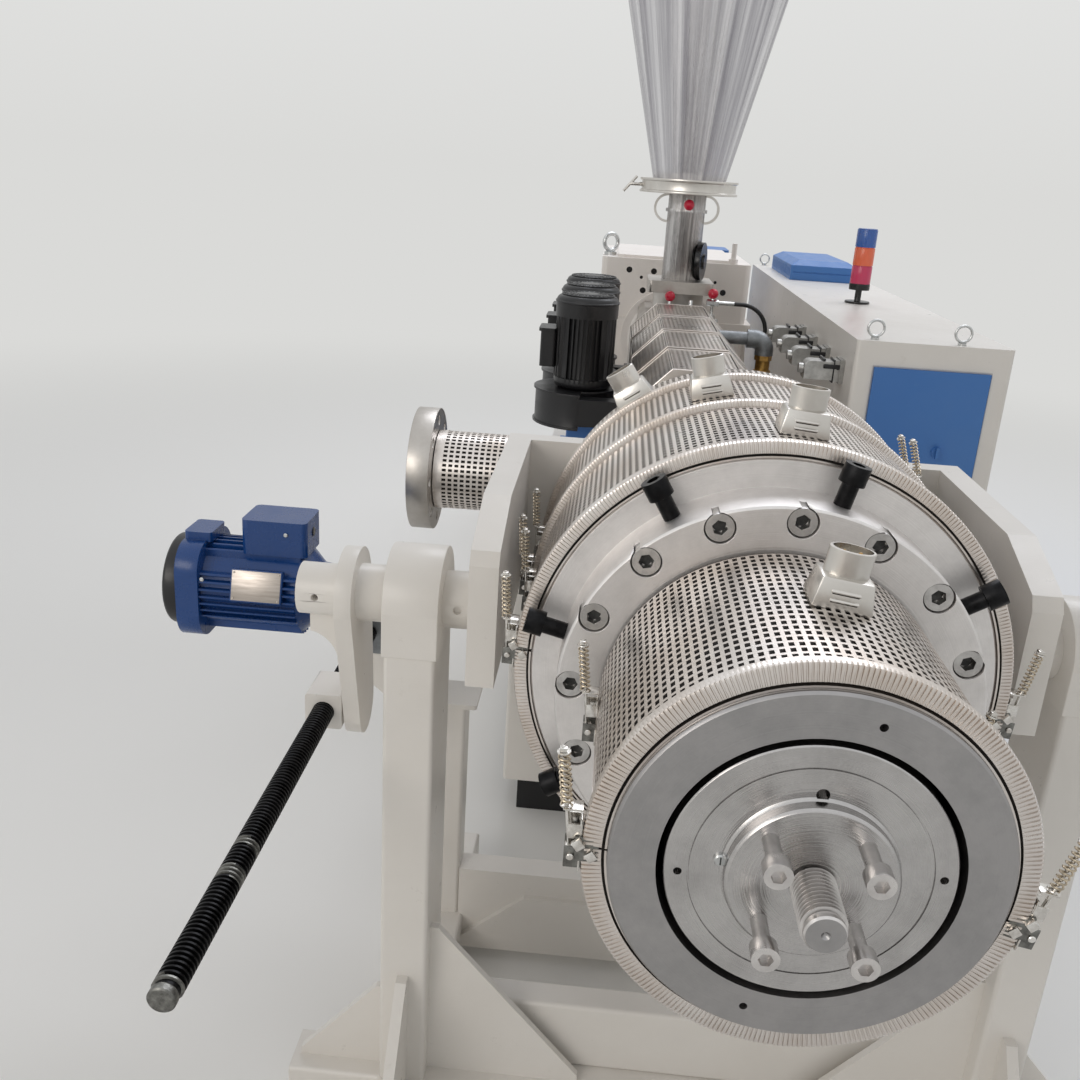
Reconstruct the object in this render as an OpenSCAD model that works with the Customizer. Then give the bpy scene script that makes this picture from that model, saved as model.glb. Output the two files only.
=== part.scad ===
// Plastic extruder with a pipe die head on a tilting trolley, in millimetres.
// X runs to the right, +Y from the die towards the drive motor, +Z up. The origin
// is on the floor below the joint of the barrel and the die adapter.

/* [Line] */
// Height of the barrel and die axis above the floor
axis_h = 1050; // [900:5:1300]
// Die adapter, from the barrel joint to the yoke plate
adapter_len = 605; // [480:5:800]
// Diameter of the adapter pipe
adapter_d = 250; // [180:2:280]

/* [Die head] */
// Diameter of the die body and its retaining ring
body_d = 661; // [560:1:720]
// Length of the die body with the retaining ring
body_len = 602; // [480:2:760]
// Thickness of the retaining ring
ring_t = 70; // [50:1:110]
// Diameter of the raised boss on the retaining ring
boss_d = 580; // [520:1:600]
// Height of the raised boss
boss_step = 89; // [60:1:120]
// How far the bush stands out of the boss
bush_reach = 359; // [260:1:460]
// Outer diameter of the bush
bush_d = 423; // [400:1:450]
// Bore of the bush at its mouth
bush_bore = 320; // [310:1:340]
// Width of the ring gap that shapes the pipe
die_gap = 8; // [5:0.5:14]
// Diameter of the hub on the mandrel
hub_d = 180; // [140:1:220]
// Height of the hub on the mandrel
hub_h = 18; // [8:1:30]
// Diameter of the groove line on the mandrel face
groove_d = 255; // [220:1:280]
// Circle of the two threaded holes in the mandrel face
mandrel_hole_d = 274; // [266:1:284]
// Circle of the two threaded holes in the bush face
bush_hole_d = 368; // [350:1:380]
// Diameter of the threaded holes in the die face
face_hole_d = 9; // [6:0.5:12]
// Bevel on the outer edges of the die parts
die_bevel = 3; // [1:0.5:5]

/* [Die screws] */
// Number of socket screws in the retaining ring
ring_screws_n = 16; // [12:1:20]
// Circle of the socket screws
ring_circle_d = 539; // [500:1:545]
// Counterbore of each socket screw
ring_sink_d = 42; // [38:1:46]
// Depth of each counterbore
ring_sink = 30; // [20:1:40]
// Head diameter of the socket screws
ring_head_d = 38; // [30:1:40]
// Angle of the first socket screw above the X axis
ring_clock = -2.6; // [-11:0.1:11]
// Number of centring screws around the boss
centring_n = 8; // [4:1:8]
// Thread diameter of the centring screws
centring_d = 24; // [16:1:30]
// Head diameter of the centring screws
centring_head_d = 36; // [28:1:42]
// Head height of the centring screws
centring_head_h = 26; // [18:1:34]
// Length of centring screw that shows below the head
centring_free = 32; // [24:1:46]
// Diameter of the draw stud
stud_d = 48; // [36:1:60]
// Length of the draw stud beyond the hub
stud_reach = 77; // [50:1:110]
// Spacing of the four mandrel screws
mandrel_pitch = 98; // [84:1:110]
// Thread diameter of the mandrel screws
mandrel_screw_d = 18; // [12:1:24]
// Head diameter of the mandrel screws
mandrel_head_d = 29; // [22:1:36]
// Head height of the mandrel screws
mandrel_head_h = 20; // [14:1:26]
// How far the mandrel screws stand out of the hub
mandrel_reach = 60; // [40:1:80]

/* [Heater bands] */
// Thickness of a heater band with its cover
band_t = 14; // [10:1:20]
// Extra height of the ribbed rims of a band
rim_h = 10; // [4:1:14]
// Width of a ribbed rim
rim_w = 16; // [10:1:24]
// Length of the front band on the body
band_a = 258; // [180:1:320]
// Length of the middle band on the body
band_b = 218; // [140:1:280]
// Space between neighbouring bands
band_gap = 10; // [6:1:20]
// Thickness of the band on the bush
bush_band_t = 18; // [12:1:24]
// Length of the band on the bush
bush_band_len = 340; // [240:1:350]
// Height of a heater plug box
plug_h = 48; // [36:1:60]
// Width of a heater plug box at its foot
plug_w = 84; // [60:1:100]

/* [Side inlet] */
// Distance of the side inlet axis in front of the barrel joint
inlet_back = 270; // [200:5:330]
// Diameter of the side inlet tube with its band
inlet_d = 180; // [140:1:200]
// Distance of the inlet face from the machine axis
inlet_reach = 681; // [560:1:800]
// Diameter of the inlet flange
inlet_flange_d = 282; // [240:1:320]
// Thickness of the inlet flange
inlet_flange_t = 50; // [30:1:60]
// Bore of the inlet flange
inlet_bore = 70; // [50:1:90]
// Circle of the inlet flange holes
inlet_circle_d = 230; // [210:1:245]
// Number of inlet flange holes
inlet_holes_n = 8; // [6:1:12]
// Diameter of each inlet flange hole
inlet_hole_d = 22; // [16:1:26]

/* [Yoke] */
// Plate thickness of the yoke
yoke_t = 45; // [30:1:60]
// Inside width between the yoke cheeks
yoke_gap = 780; // [740:2:900]
// Height of the yoke plates above the axis
yoke_up = 180; // [140:2:240]
// Depth of the yoke plates below the axis
yoke_down = 90; // [80:2:140]
// Length of a yoke cheek, from the back of the yoke
yoke_len = 570; // [480:5:640]
// Diameter of the tilting shaft
shaft_d = 78; // [60:1:90]
// Distance of the tilting shaft in front of the barrel joint
shaft_back = 1045; // [960:5:1090]
// Outer diameter of the shaft hubs
hub_ring_d = 95; // [85:1:110]

/* [Trolley] */
// Distance of the post centre from the machine axis
post_x = 532; // [510:1:600]
// Width of the front post across the trolley
post_w = 84; // [70:1:100]
// Depth of the front post along the machine
post_depth = 170; // [140:2:180]
// Corner radius of the square tubes
tube_r = 8; // [4:1:14]
// Height of the base rails
rail_h = 110; // [80:5:140]
// Width of the base rails
rail_w = 90; // [70:1:100]
// Length of the base rails
rail_len = 1080; // [1000:10:1200]
// How far the base rails reach in front of the front post
rail_toe = 290; // [240:5:360]
// Side of the rear post tube
rear_post_w = 70; // [60:1:80]
// Distance from the front post to the rear post
post_span = 480; // [440:5:540]
// How far the rear post ends below the jack screw
rear_post_drop = 170; // [150:5:260]
// Height of the front cross beam
beam_h = 140; // [100:5:180]
// Thickness of the gusset plates
gusset_t = 14; // [10:1:20]
// Width of a gusset plate at its foot
gusset_w = 285; // [200:5:320]
// Height of a gusset plate
gusset_h = 320; // [240:5:360]

/* [Tilting drive] */
// Distance of the jack screw from the machine axis
jack_x = 695; // [680:1:740]
// Depth of the jack screw below the axis
jack_drop = 230; // [210:1:260]
// How far the jack nut hangs behind the tilting shaft
jack_back = 45; // [20:1:70]
// Diameter of the jack screw
jack_d = 38; // [30:1:46]
// Free length of the jack screw in front of the nut
jack_free = 715; // [500:5:760]
// Side of the square jack nut
nut_w = 64; // [56:1:70]
// Space between the post and the lever arm
lever_gap = 55; // [45:1:60]
// Thickness of the lever arm
lever_t = 28; // [20:1:34]
// How far the shaft end stands out of the lever arm
shaft_end = 71; // [60:1:90]
// Width of the worm gearbox of the jack
worm_w = 92; // [80:1:104]
// Distance between the worm and the jack screw
worm_drop = 63; // [55:1:70]
// Diameter of the drive motor of the jack
jack_motor_d = 192; // [170:1:200]
// Length of the drive motor of the jack, without its fan cover
jack_motor_len = 321; // [300:1:360]
// Length of the black fan cover
fan_cover_len = 32; // [24:1:40]
// Size of the terminal box on the drive motor
jack_box = 132; // [110:1:150]

/* [Barrel] */
// Barrel length, from the die joint to the gearbox
barrel_len = 2050; // [1800:10:2400]
// Barrel diameter
barrel_d = 240; // [180:2:280]
// Diameter of the barrel joint flanges
joint_d = 400; // [340:2:460]
// Thickness of each joint flange
joint_t = 60; // [40:1:80]
// Number of covered heating zones
zones_n = 4; // [3:1:5]
// Length of one zone cover
zone_len = 345; // [280:1:360]
// Space between the zone covers
zone_gap = 30; // [15:1:45]
// Width of a zone cover
zone_w = 368; // [340:2:368]
// Height of a zone cover
zone_h = 420; // [380:2:460]
// Chamfer on the edges of a zone cover
zone_chamfer = 95; // [70:1:120]
// Width of the raised end rims of a zone cover
zone_rim = 12; // [8:1:18]
// Depth of the panels between the rims
zone_step = 6; // [3:0.5:9]
// Diameter of the vent pipe
vent_d = 45; // [36:1:50]
// Height of the vent pipe above the axis
vent_up = 155; // [145:1:165]
// Distance of the vent elbow from the machine axis
vent_x = 284; // [270:1:310]
// Diameter of the vent elbow
elbow_d = 64; // [58:1:70]
// Height of the valve below the vent elbow
vent_valve_h = 70; // [50:1:90]

/* [Feed] */
// Distance of the feed opening from the die joint
feed_y = 1750; // [1650:5:1850]
// Side of the square feed block
feed_block_w = 300; // [240:2:340]
// Height of the feed block above the axis
feed_block_up = 160; // [150:2:200]
// Side of the square flange on the feed block
feed_flange_w = 254; // [230:2:280]
// Thickness of that flange
feed_flange_t = 46; // [30:1:54]
// Underside of that flange above the axis
feed_neck_up = 242; // [230:1:260]
// Diameter of the neck below the flange
feed_neck_d = 200; // [180:2:220]
// Outer diameter of the feed pipe
feed_pipe_d = 146; // [140:2:170]
// Wall thickness of the feed pipe and hopper
sheet_t = 5; // [3:0.5:6]
// Top of the feed pipe above the axis
feed_top = 613; // [560:1:660]
// Height of the collar on the feed pipe below its top
feed_collar = 68; // [50:1:90]
// Diameter of the clamp ring under the hopper
gate_d = 380; // [340:2:400]
// Height of the clamp ring
gate_h = 53; // [44:1:60]
// Radius of the curved arms under the clamp ring
clamp_r = 55; // [48:1:60]
// Diameter of the black port cover on the feed pipe
port_d = 147; // [120:1:150]
// Angle of the port cover from the front of the machine
port_turn = 75; // [70:1:90]
// Height of the port cover above the axis
port_up = 363; // [340:1:400]
// Diameter of the round knobs on the feed valves
knob_d = 40; // [30:1:44]
// Diameter of the air hose
hose_d = 16; // [12:1:20]
// Radius of the bend in the air hose
hose_bend = 100; // [90:1:110]
// Radius of the hopper mouth
hopper_mouth_r = 142; // [130:1:150]
// Radius of the hopper drum
hopper_r = 420; // [340:5:520]
// Height of the hopper cone
cone_h = 1150; // [900:10:1300]
// Height of the hopper drum
drum_h = 320; // [200:10:500]
// Number of bends around the hopper
hopper_bends = 24; // [16:4:36]

/* [Drive] */
// Width of the gearbox
gearbox_w = 640; // [560:5:700]
// Length of the gearbox
gearbox_len = 800; // [600:10:960]
// Height of the gearbox above the axis
gearbox_up = 345; // [300:5:400]
// Height of the split between the gearbox halves above the axis
gearbox_split = 60; // [40:5:90]
// Diameter of the bearing cap on the gearbox front
bearing_cap_d = 430; // [410:2:450]
// Radius of the lifting eye on the gearbox
lift_eye_r = 35; // [28:1:42]
// Diameter of the main motor
motor_d = 480; // [400:5:560]
// Length of the main motor
motor_len = 820; // [700:10:900]
// Depth of the cooling fins on the main motor
motor_fin = 28; // [18:1:36]
// Gap that the coupling guard bridges
coupling_len = 200; // [160:5:260]

/* [Bed] */
// Width of the bed
bed_w = 914; // [860:2:960]
// How far the bed top lies below the barrel axis
bed_drop = 330; // [290:5:370]
// How far the bed reaches in front of the die joint
bed_nose = 80; // [60:5:120]
// Length of the bed
bed_len = 4100; // [4000:10:4400]
// Height of the plinth under the bed and cabinet
plinth_h = 115; // [80:5:150]
// How far the plinth is set back from the bed
plinth_inset = 40; // [20:5:80]

/* [Blowers] */
// Number of barrel blowers
blowers_n = 3; // [2:1:4]
// Distance of the first blower from the die joint
blower_y = 750; // [700:5:800]
// Spacing of the blowers
blower_pitch = 315; // [312:1:320]
// Distance of the blowers from the machine axis
blower_x = 335; // [320:1:350]
// Largest radius of the blower scroll
blower_r = 148; // [136:1:150]
// How much the scroll closes in at each quarter turn
blower_step = 15; // [10:1:18]
// Height of the blower scroll
blower_h = 112; // [90:2:130]
// Top of the blower scroll above the axis
blower_up = 20; // [0:2:40]
// Edge of the top and bottom sheets of the scroll
blower_lip = 6; // [4:1:8]
// Diameter of a blower motor
blower_motor_d = 190; // [160:2:194]
// Height of a blower motor
blower_motor_h = 290; // [240:5:340]

/* [Cabinet] */
// Width of the control cabinet
cabinet_w = 450; // [400:5:560]
// Length of the control cabinet
cabinet_len = 2700; // [2400:10:2900]
// Distance of the cabinet front from the die joint
cabinet_y = 500; // [420:5:600]
// Height of the cabinet top above the floor
cabinet_h = 1312; // [1200:2:1400]
// Corner radius of the cabinet
cabinet_r = 12; // [6:1:30]
// Width of the front panel
panel_w = 334; // [300:1:360]
// Distance of the panels and doors from the cabinet top
panel_drop = 74; // [60:1:100]
// Distance of the panels and doors from the plinth
panel_foot = 60; // [40:1:90]
// How far the panels and doors stand out of the cabinet
panel_t = 8; // [5:1:12]
// Gap around the panels and doors
reveal = 4; // [3:0.5:6]
// Number of heater sockets on the cabinet side
sockets_n = 4; // [3:1:5]
// Distance of the first heater socket from the cabinet front
socket_y = 155; // [130:1:180]
// Spacing of the heater sockets
socket_pitch = 245; // [220:1:300]
// Depth of the heater sockets below the cabinet top
socket_drop = 116; // [100:1:140]
// Length of the plug hood on a heater socket
socket_len = 118; // [100:1:122]
// Width of the plug hood
socket_w = 64; // [54:1:76]
// Height of the lip on the roof hood
hood_lip = 65; // [50:1:75]
// Height of the roof hood
hood_h = 88; // [80:1:110]
// Width of the roof hood
hood_w = 300; // [260:5:340]
// Length of the roof hood
hood_len = 630; // [560:5:700]
// Distance of the roof hood from the cabinet back
hood_back = 185; // [150:5:240]
// Distance of the signal tower from the cabinet front
tower_y = 1040; // [900:5:1200]
// Distance of the signal tower from the cabinet side
tower_x = 207; // [160:1:260]
// Height of the signal tower
tower_h = 272; // [240:1:320]
// Diameter of the lenses on the signal tower
lens_d = 74; // [60:1:80]
// Distance of the left lifting eyes from the cabinet side
eye_left = 55; // [45:1:80]
// Distance of the right lifting eyes from the cabinet side
eye_right = 145; // [100:1:160]
// Distance of the lifting eyes from the ends of the cabinet
eye_end = 34; // [30:1:60]

/* [Hidden] */
fine = 96;
round = 48;
plain = 24;
slip = 1;
bed_h = axis_h - bed_drop;
plate_back = -adapter_len;
plate_front = plate_back - yoke_t;
body_front = plate_front - body_len;
ring_back = body_front + ring_t;
boss_face = body_front - boss_step;
face_y = boss_face - bush_reach;
hub_face = face_y - hub_h;
mandrel_d = bush_bore - 2 * die_gap;
band_r = body_d / 2 + band_t;
band_c = body_len - band_a - band_b - 2 * band_gap;
cheek_x = yoke_gap / 2;
yoke_x = cheek_x + yoke_t;
yoke_front = plate_back - yoke_len;
post_in = post_x - post_w / 2;
post_out = post_x + post_w / 2;
post_front = -shaft_back - post_depth / 2;
rear_front = post_front + post_span;
rail_front = post_front - rail_toe;
block_drop = 74;
jack_z = axis_h - jack_drop;
rear_post_h = jack_z - rear_post_drop;
jack_y = -shaft_back + jack_back;
lever_x = post_out + lever_gap;
gear_y = rear_front;
motor_x = jack_x + worm_w / 2 + 12;
fan_x = motor_x + jack_motor_len;
bed_x = bed_w / 2;
gearbox_y = barrel_len;
gear_front = gearbox_y + 40;
motor_y = gearbox_y + gearbox_len + coupling_len;
zone_y = joint_t + zone_gap;
zone_pitch = zone_len + zone_gap;
feed_flange_z = axis_h + feed_neck_up;
pipe_z = feed_flange_z + feed_flange_t;
vent_y = zone_y + 2 * zone_pitch + zone_len - zone_rim - vent_d / 2 - 4;
vent_bend = elbow_d / 2 + 8;
vent_low = axis_h + vent_up - vent_bend - 14;
valve_y = feed_y - feed_block_w / 2 - 18;
valve_z = axis_h + feed_block_up;
valve_left = -40;
valve_right = 125;
tap_z = valve_z + 62;
hose_x = valve_right + 84;
gate_z = axis_h + feed_top;
hopper_z = gate_z + gate_h;
drum_z = hopper_z + cone_h;
side_x = bed_x + cabinet_w;
door_len = (cabinet_len - 3 * panel_foot) / 2;

// Box between two corners
module box(a, b) {
  translate(a) cube(b - a);
}

// Rectangle with rounded corners, one corner at the origin
module soft_rect(w, d, r) {
  translate([0, r]) square([w, d - 2 * r]);
  translate([r, 0]) square([w - 2 * r, d]);
  for (x = [r, w - r], y = [r, d - r]) translate([x, y]) circle(r, $fn = plain);
}

// Upright block between two corners, with rounded upright edges
module soft_box(a, b, r) {
  translate(a) linear_extrude(b[2] - a[2]) soft_rect(b[0] - a[0], b[1] - a[1], r);
}

// Tube along the machine between two corners, with rounded long edges
module soft_bar_y(a, b, r) {
  translate([a[0], b[1], a[2]]) rotate([90, 0, 0]) linear_extrude(b[1] - a[1])
    soft_rect(b[0] - a[0], b[2] - a[2], r);
}

// Tube across the machine between two corners, with rounded long edges
module soft_bar_x(a, b, r) {
  translate([a[0], a[1], a[2]]) rotate([90, 0, 90]) linear_extrude(b[0] - a[0])
    soft_rect(b[1] - a[1], b[2] - a[2], r);
}

// Round bar along the machine, between two Y positions
module bar_y(d, from, to, sides = round) {
  translate([0, from, 0]) rotate([-90, 0, 0]) cylinder(d = d, h = to - from, $fn = sides);
}

// Round bar across the machine, between two X positions
module bar_x(d, from, to, sides = round) {
  translate([from, 0, 0]) rotate([0, 90, 0]) cylinder(d = d, h = to - from, $fn = sides);
}

// Ring along the machine with an outer and an inner diameter
module ring_y(d, bore, from, to, sides = fine) {
  difference() {
    bar_y(d, from, to, sides);
    bar_y(bore, from - slip, to + slip, sides);
  }
}

// Turned part along the machine: each point is a radius and a Y position
module turned_y(profile) {
  rotate([-90, 0, 0]) rotate_extrude($fn = fine) polygon(profile);
}

// Disc on its own Z with one rounded edge at the top
module round_disc(r, h, edge) {
  rotate_extrude($fn = round) {
    square([r - edge, h]);
    square([r, h - edge]);
    translate([r - edge, h - edge]) circle(edge, $fn = plain);
  }
}

// Quarter bend of round bar about its own Z, from +X to +Y
module bend(d, r) {
  rotate_extrude(angle = 90, $fn = round) translate([r, 0]) circle(d = d, $fn = plain);
}

// Eye bolt that stands on its own Z
module eye_bolt(r, wire, neck) {
  cylinder(r = wire * 1.5, h = neck, $fn = plain);
  translate([0, 0, neck + r + wire * 0.3]) rotate([90, 0, 0])
    rotate_extrude($fn = round) translate([r, 0]) circle(d = wire, $fn = plain);
}

// Flat link with two round ends, the larger at the origin
module link(r1, r2, reach) {
  a = acos((r1 - r2) / reach);
  circle(r1, $fn = fine);
  translate([reach, 0]) circle(r2, $fn = fine);
  polygon([for (s = [1, -1], end = s > 0 ? [0, 1] : [1, 0])
    [end * reach + (end == 0 ? r1 : r2) * cos(a), s * (end == 0 ? r1 : r2) * sin(a)]]);
}

// Places its children at even angles around the die axis
module around(n, first = 0) {
  for (i = [0 : n - 1]) translate([0, 0, axis_h]) rotate([0, -first - i * 360 / n, 0]) children();
}

// Places its children on both sides of the machine
module both_sides() {
  for (s = [0, 1]) mirror([s, 0, 0]) children();
}

// Triangle plate across the machine, foot at the bottom inner corner
module gusset(w, h, t) {
  rotate([90, 0, 0]) translate([0, 0, -t / 2]) linear_extrude(t)
    polygon([[0, 0], [w, 0], [w, t], [t, h], [0, h]]);
}

// Heater band with two ribbed rims
module band(r, t, from, to) {
  translate([0, 0, axis_h]) difference() {
    union() {
      bar_y(2 * (r + t), from, to, fine);
      for (y = [from, to - rim_w]) bar_y(2 * (r + t + rim_h), y, y + rim_w, fine);
    }
    bar_y(2 * r, from - slip, to + slip, fine);
  }
}

// Plug box that stands on a heater band, pointing out along its own Z
module plug_box() {
  top_w = 0.68 * plug_w;
  hull() {
    translate([-plug_w / 2, -plug_w * 0.36, 0]) cube([plug_w, plug_w * 0.72, 2]);
    translate([-top_w / 2, -top_w * 0.36, plug_h - 2]) cube([top_w, top_w * 0.72, 2]);
  }
  translate([0, 0, plug_h]) difference() {
    scale([1, 0.72, 1]) cylinder(d = top_w * 0.94, h = 28, $fn = plain);
    translate([0, 0, 6]) scale([1, 0.68, 1]) cylinder(d = top_w * 0.8, h = 28, $fn = plain);
  }
}

// Cross-section of a motor case: a round core with straight fins on four sides
module finned_case(d, core, fins, t, pitch) {
  circle(d = core, $fn = round);
  intersection() {
    circle(d = d, $fn = round);
    for (turn = [0, 90], k = [0 : fins - 1]) rotate(turn)
      translate([-d / 2, (k - (fins - 1) / 2) * pitch - t / 2]) square([d, t]);
  }
}

// Electric motor on its own Z: drive end at the bottom, fan cowl at the top
module finned_motor(d, len, fin, fins, t, pitch, bell, cowl) {
  translate([0, 0, bell]) mirror([0, 0, 1]) round_disc(d / 2 - 2, bell, bell * 0.6);
  translate([0, 0, bell]) linear_extrude(len - bell - cowl) finned_case(d, d - 2 * fin, fins, t, pitch);
  translate([0, 0, len - cowl]) round_disc(d / 2 + 3, cowl, cowl * 0.3);
}

// Scroll of a fan in plan view, drawn with four quarter circles
module scroll(r) {
  s = blower_step;
  centres = [[0, 0], [-s, 0], [-s, s], [0, s]];
  translate([-s, 0]) square(s);
  for (q = [0 : 3]) translate(centres[q]) intersection() {
    circle(r - q * s, $fn = fine);
    rotate(180 - 90 * q) square(r);
  }
}

// Cross-section of a zone cover, its faces set in by a step
module zone_profile(step) {
  w = zone_w / 2 - step;
  h = zone_h / 2 - step;
  c = zone_chamfer - 0.6 * step;
  polygon([[-w, step - zone_h / 2], [w, step - zone_h / 2], [w, h - c], [w - c, h], [c - w, h], [-w, h - c]]);
}

module trolley_base() color("#E9E4D4") {
  rear_in = post_x - rear_post_w / 2;
  flange_z = rail_h + beam_h;
  both_sides() {
    soft_bar_y([post_x - rail_w / 2, rail_front, 0],
      [post_x + rail_w / 2, rail_front + rail_len, rail_h], tube_r);
    translate([post_out, post_front + 44, rail_h]) gusset(gusset_w * 0.55, gusset_h * 0.55, gusset_t);
    translate([post_in, post_front + 44, rail_h]) mirror([1, 0, 0]) gusset(gusset_w, gusset_h, gusset_t);
    translate([post_x, post_front, rail_h]) rotate([0, 0, -90])
      gusset(gusset_w * 0.7, gusset_h * 0.75, gusset_t * 1.4);
  }
  toe = post_out + gusset_w * 0.6;
  soft_bar_x([-toe, post_front, 0], [toe, post_front + 100, rail_h], tube_r);
  soft_bar_x([-post_in, post_front + 75, rail_h], [post_in, post_front + 135, flange_z], tube_r);
  translate([0, rear_front + 60, 0]) rotate([90, 0, 0]) linear_extrude(60)
    polygon([[-rear_in, 30], [rear_in, 30], [rear_in, 230], [-rear_in, 230]]);
  translate([0, rear_front, 0]) rotate([90, 0, 0]) linear_extrude(gusset_t)
    polygon([[-rear_in, 30], [rear_in, 30], [rear_in, 50], [rear_in - 150, 175], [150 - rear_in, 175],
      [-rear_in, 50]]);
}

module trolley_posts() color("#ECE7D8") both_sides() {
  soft_box([post_in, post_front, rail_h], [post_out, post_front + post_depth, axis_h - block_drop], tube_r);
  soft_box([post_x - rear_post_w / 2, rear_front, rail_h],
    [post_x + rear_post_w / 2, rear_front + 80, rear_post_h - 10], tube_r);
  soft_box([post_x - 60, rear_front - 15, rear_post_h - 10],
    [post_x + 60, rear_front + 95, rear_post_h], tube_r);
}

module bearing_blocks() color("#ECE7D8") both_sides()
  translate([post_in - 3, -shaft_back, axis_h]) rotate([90, 0, 90]) linear_extrude(post_w + 6) difference() {
    r = post_depth / 2 + 3;
    union() {
      translate([-r, -block_drop]) square([2 * r, block_drop]);
      circle(r, $fn = fine);
    }
    translate([-r, -r - slip]) square([2 * r, r + slip - block_drop]);
    circle(d = shaft_d, $fn = round);
  }

module tilt_shafts() color("#D9D5C8") translate([0, -shaft_back, axis_h]) {
  bar_x(hub_ring_d, post_out + 3, post_out + 40);
  both_sides() bar_x(shaft_d, yoke_x - 20, post_out + 3);
  both_sides() difference() {
    bar_x(hub_ring_d, yoke_x, post_in - 3);
    translate([(yoke_x + post_in) / 2, 0, 0]) rotate([90, 0, 0])
      cylinder(d = 14, h = hub_ring_d, $fn = plain);
  }
}

module yoke() color("#E6E3CF") {
  both_sides() difference() {
    translate([cheek_x, 0, axis_h]) rotate([90, 0, 90]) linear_extrude(yoke_t)
      polygon([[yoke_front, -yoke_down], [plate_back, -yoke_down], [plate_back, yoke_up],
        [yoke_front + 150, yoke_up], [yoke_front + 12, yoke_up - 48], [yoke_front, yoke_up - 70]]);
    translate([0, -shaft_back, axis_h]) bar_x(shaft_d, yoke_x - 20, yoke_x + slip);
  }
  difference() {
    box([-cheek_x, plate_front, axis_h - yoke_down], [cheek_x, plate_back, axis_h + yoke_up]);
    translate([0, 0, axis_h]) bar_y(adapter_d, plate_front - slip, plate_back + slip);
  }
}

// Crank that turns the tilting shaft, and the shaft end that it is keyed on
module lever_arm() color("#E9E4D4") mirror([1, 0, 0]) {
  reach = sqrt(pow(jack_back, 2) + pow(jack_drop, 2));
  lean = atan2(-jack_drop, jack_back);
  tip = lever_x + lever_t;
  difference() {
    translate([lever_x, -shaft_back, axis_h]) rotate([90, 0, 90]) linear_extrude(lever_t)
      rotate(lean) link(75, 52, reach);
    translate([0, -shaft_back, axis_h]) bar_x(shaft_d, lever_x - slip, tip + slip);
  }
  translate([0, -shaft_back, axis_h]) {
    bar_x(hub_ring_d, post_out + 3, lever_x);
    bar_x(shaft_d, lever_x, tip);
    difference() {
      bar_x(shaft_d + 8, tip, tip + shaft_end);
      translate([tip + shaft_end * 0.55, 0, 0]) rotate([90, 0, 0])
        cylinder(d = 12, h = hub_ring_d, $fn = plain);
    }
  }
  // rib that stiffens the arm under the shaft end
  translate([tip, -shaft_back + 7, axis_h - 120]) rotate([90, 0, 0]) linear_extrude(14) difference() {
    square([shaft_end * 0.8, 85]);
    translate([shaft_end * 0.95, -12]) circle(shaft_end * 0.82, $fn = round);
  }
}

module jack_nut() color("#E4DFC6") {
  half = nut_w / 2;
  difference() {
    translate([-jack_x, jack_y, jack_z]) rotate([90, 0, 0]) translate([-half, -half, -45]) linear_extrude(90)
      soft_rect(nut_w, nut_w, 5);
    translate([-jack_x, 0, jack_z]) bar_y(jack_d, jack_y - 60, jack_y + 60);
  }
  translate([0, jack_y, jack_z]) bar_x(58, -jack_x + half, -lever_x - lever_t);
}

module jack_screw() color("#1F1F20") {
  tip = jack_y - jack_free;
  translate([-jack_x, 0, jack_z]) {
    bar_y(jack_d, tip, gear_y - worm_w / 2 - 14);
    turned_y([[0, tip - 12], [jack_d / 2 - 5, tip - 12], [jack_d / 2 - 2, tip - 9], [jack_d / 2 - 2, tip],
      [0, tip]]);
  }
}

// Worm gearbox: square case round the screw, with the worm above it
module jack_gearbox() color("#8E9296") translate([-jack_x, gear_y, jack_z]) {
  half = worm_w / 2;
  case_r = half + 6;
  translate([0, half, 0]) rotate([90, 0, 0]) linear_extrude(worm_w) {
    circle(case_r, $fn = round);
    translate([-half, 0]) square([worm_w, worm_drop + 34]);
    translate([10 - half, -case_r]) square([worm_w - 20, case_r]);
  }
  bar_y(2 * case_r - 24, -half - 14, -half);
  bar_y(2 * case_r - 40, half, half + 10);
  for (z = [-30, -15, 15]) translate([-half - 4, 14 - half, z + worm_drop / 2]) cube([4, worm_w - 28, 5]);
  translate([0, 0, worm_drop]) bar_x(70, half, half + 8);
}

// Bracket that carries the worm gearbox on the rear post
module jack_bracket() color("#E9E4D4") {
  outer = post_x + rear_post_w / 2;
  top = jack_z - worm_w / 2 - 6;
  reach = jack_x + worm_w / 2 - outer;
  box([-outer - reach, gear_y - 46, top - 12], [-outer, gear_y + 46, top]);
  for (y = [gear_y - 34, gear_y + 46]) translate([-outer, y, top - 12]) rotate([90, 0, 180])
    mirror([0, 0, 1]) linear_extrude(12) polygon([[0, 0], [reach, 0], [reach, -14], [14, -150], [0, -150]]);
}

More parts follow.
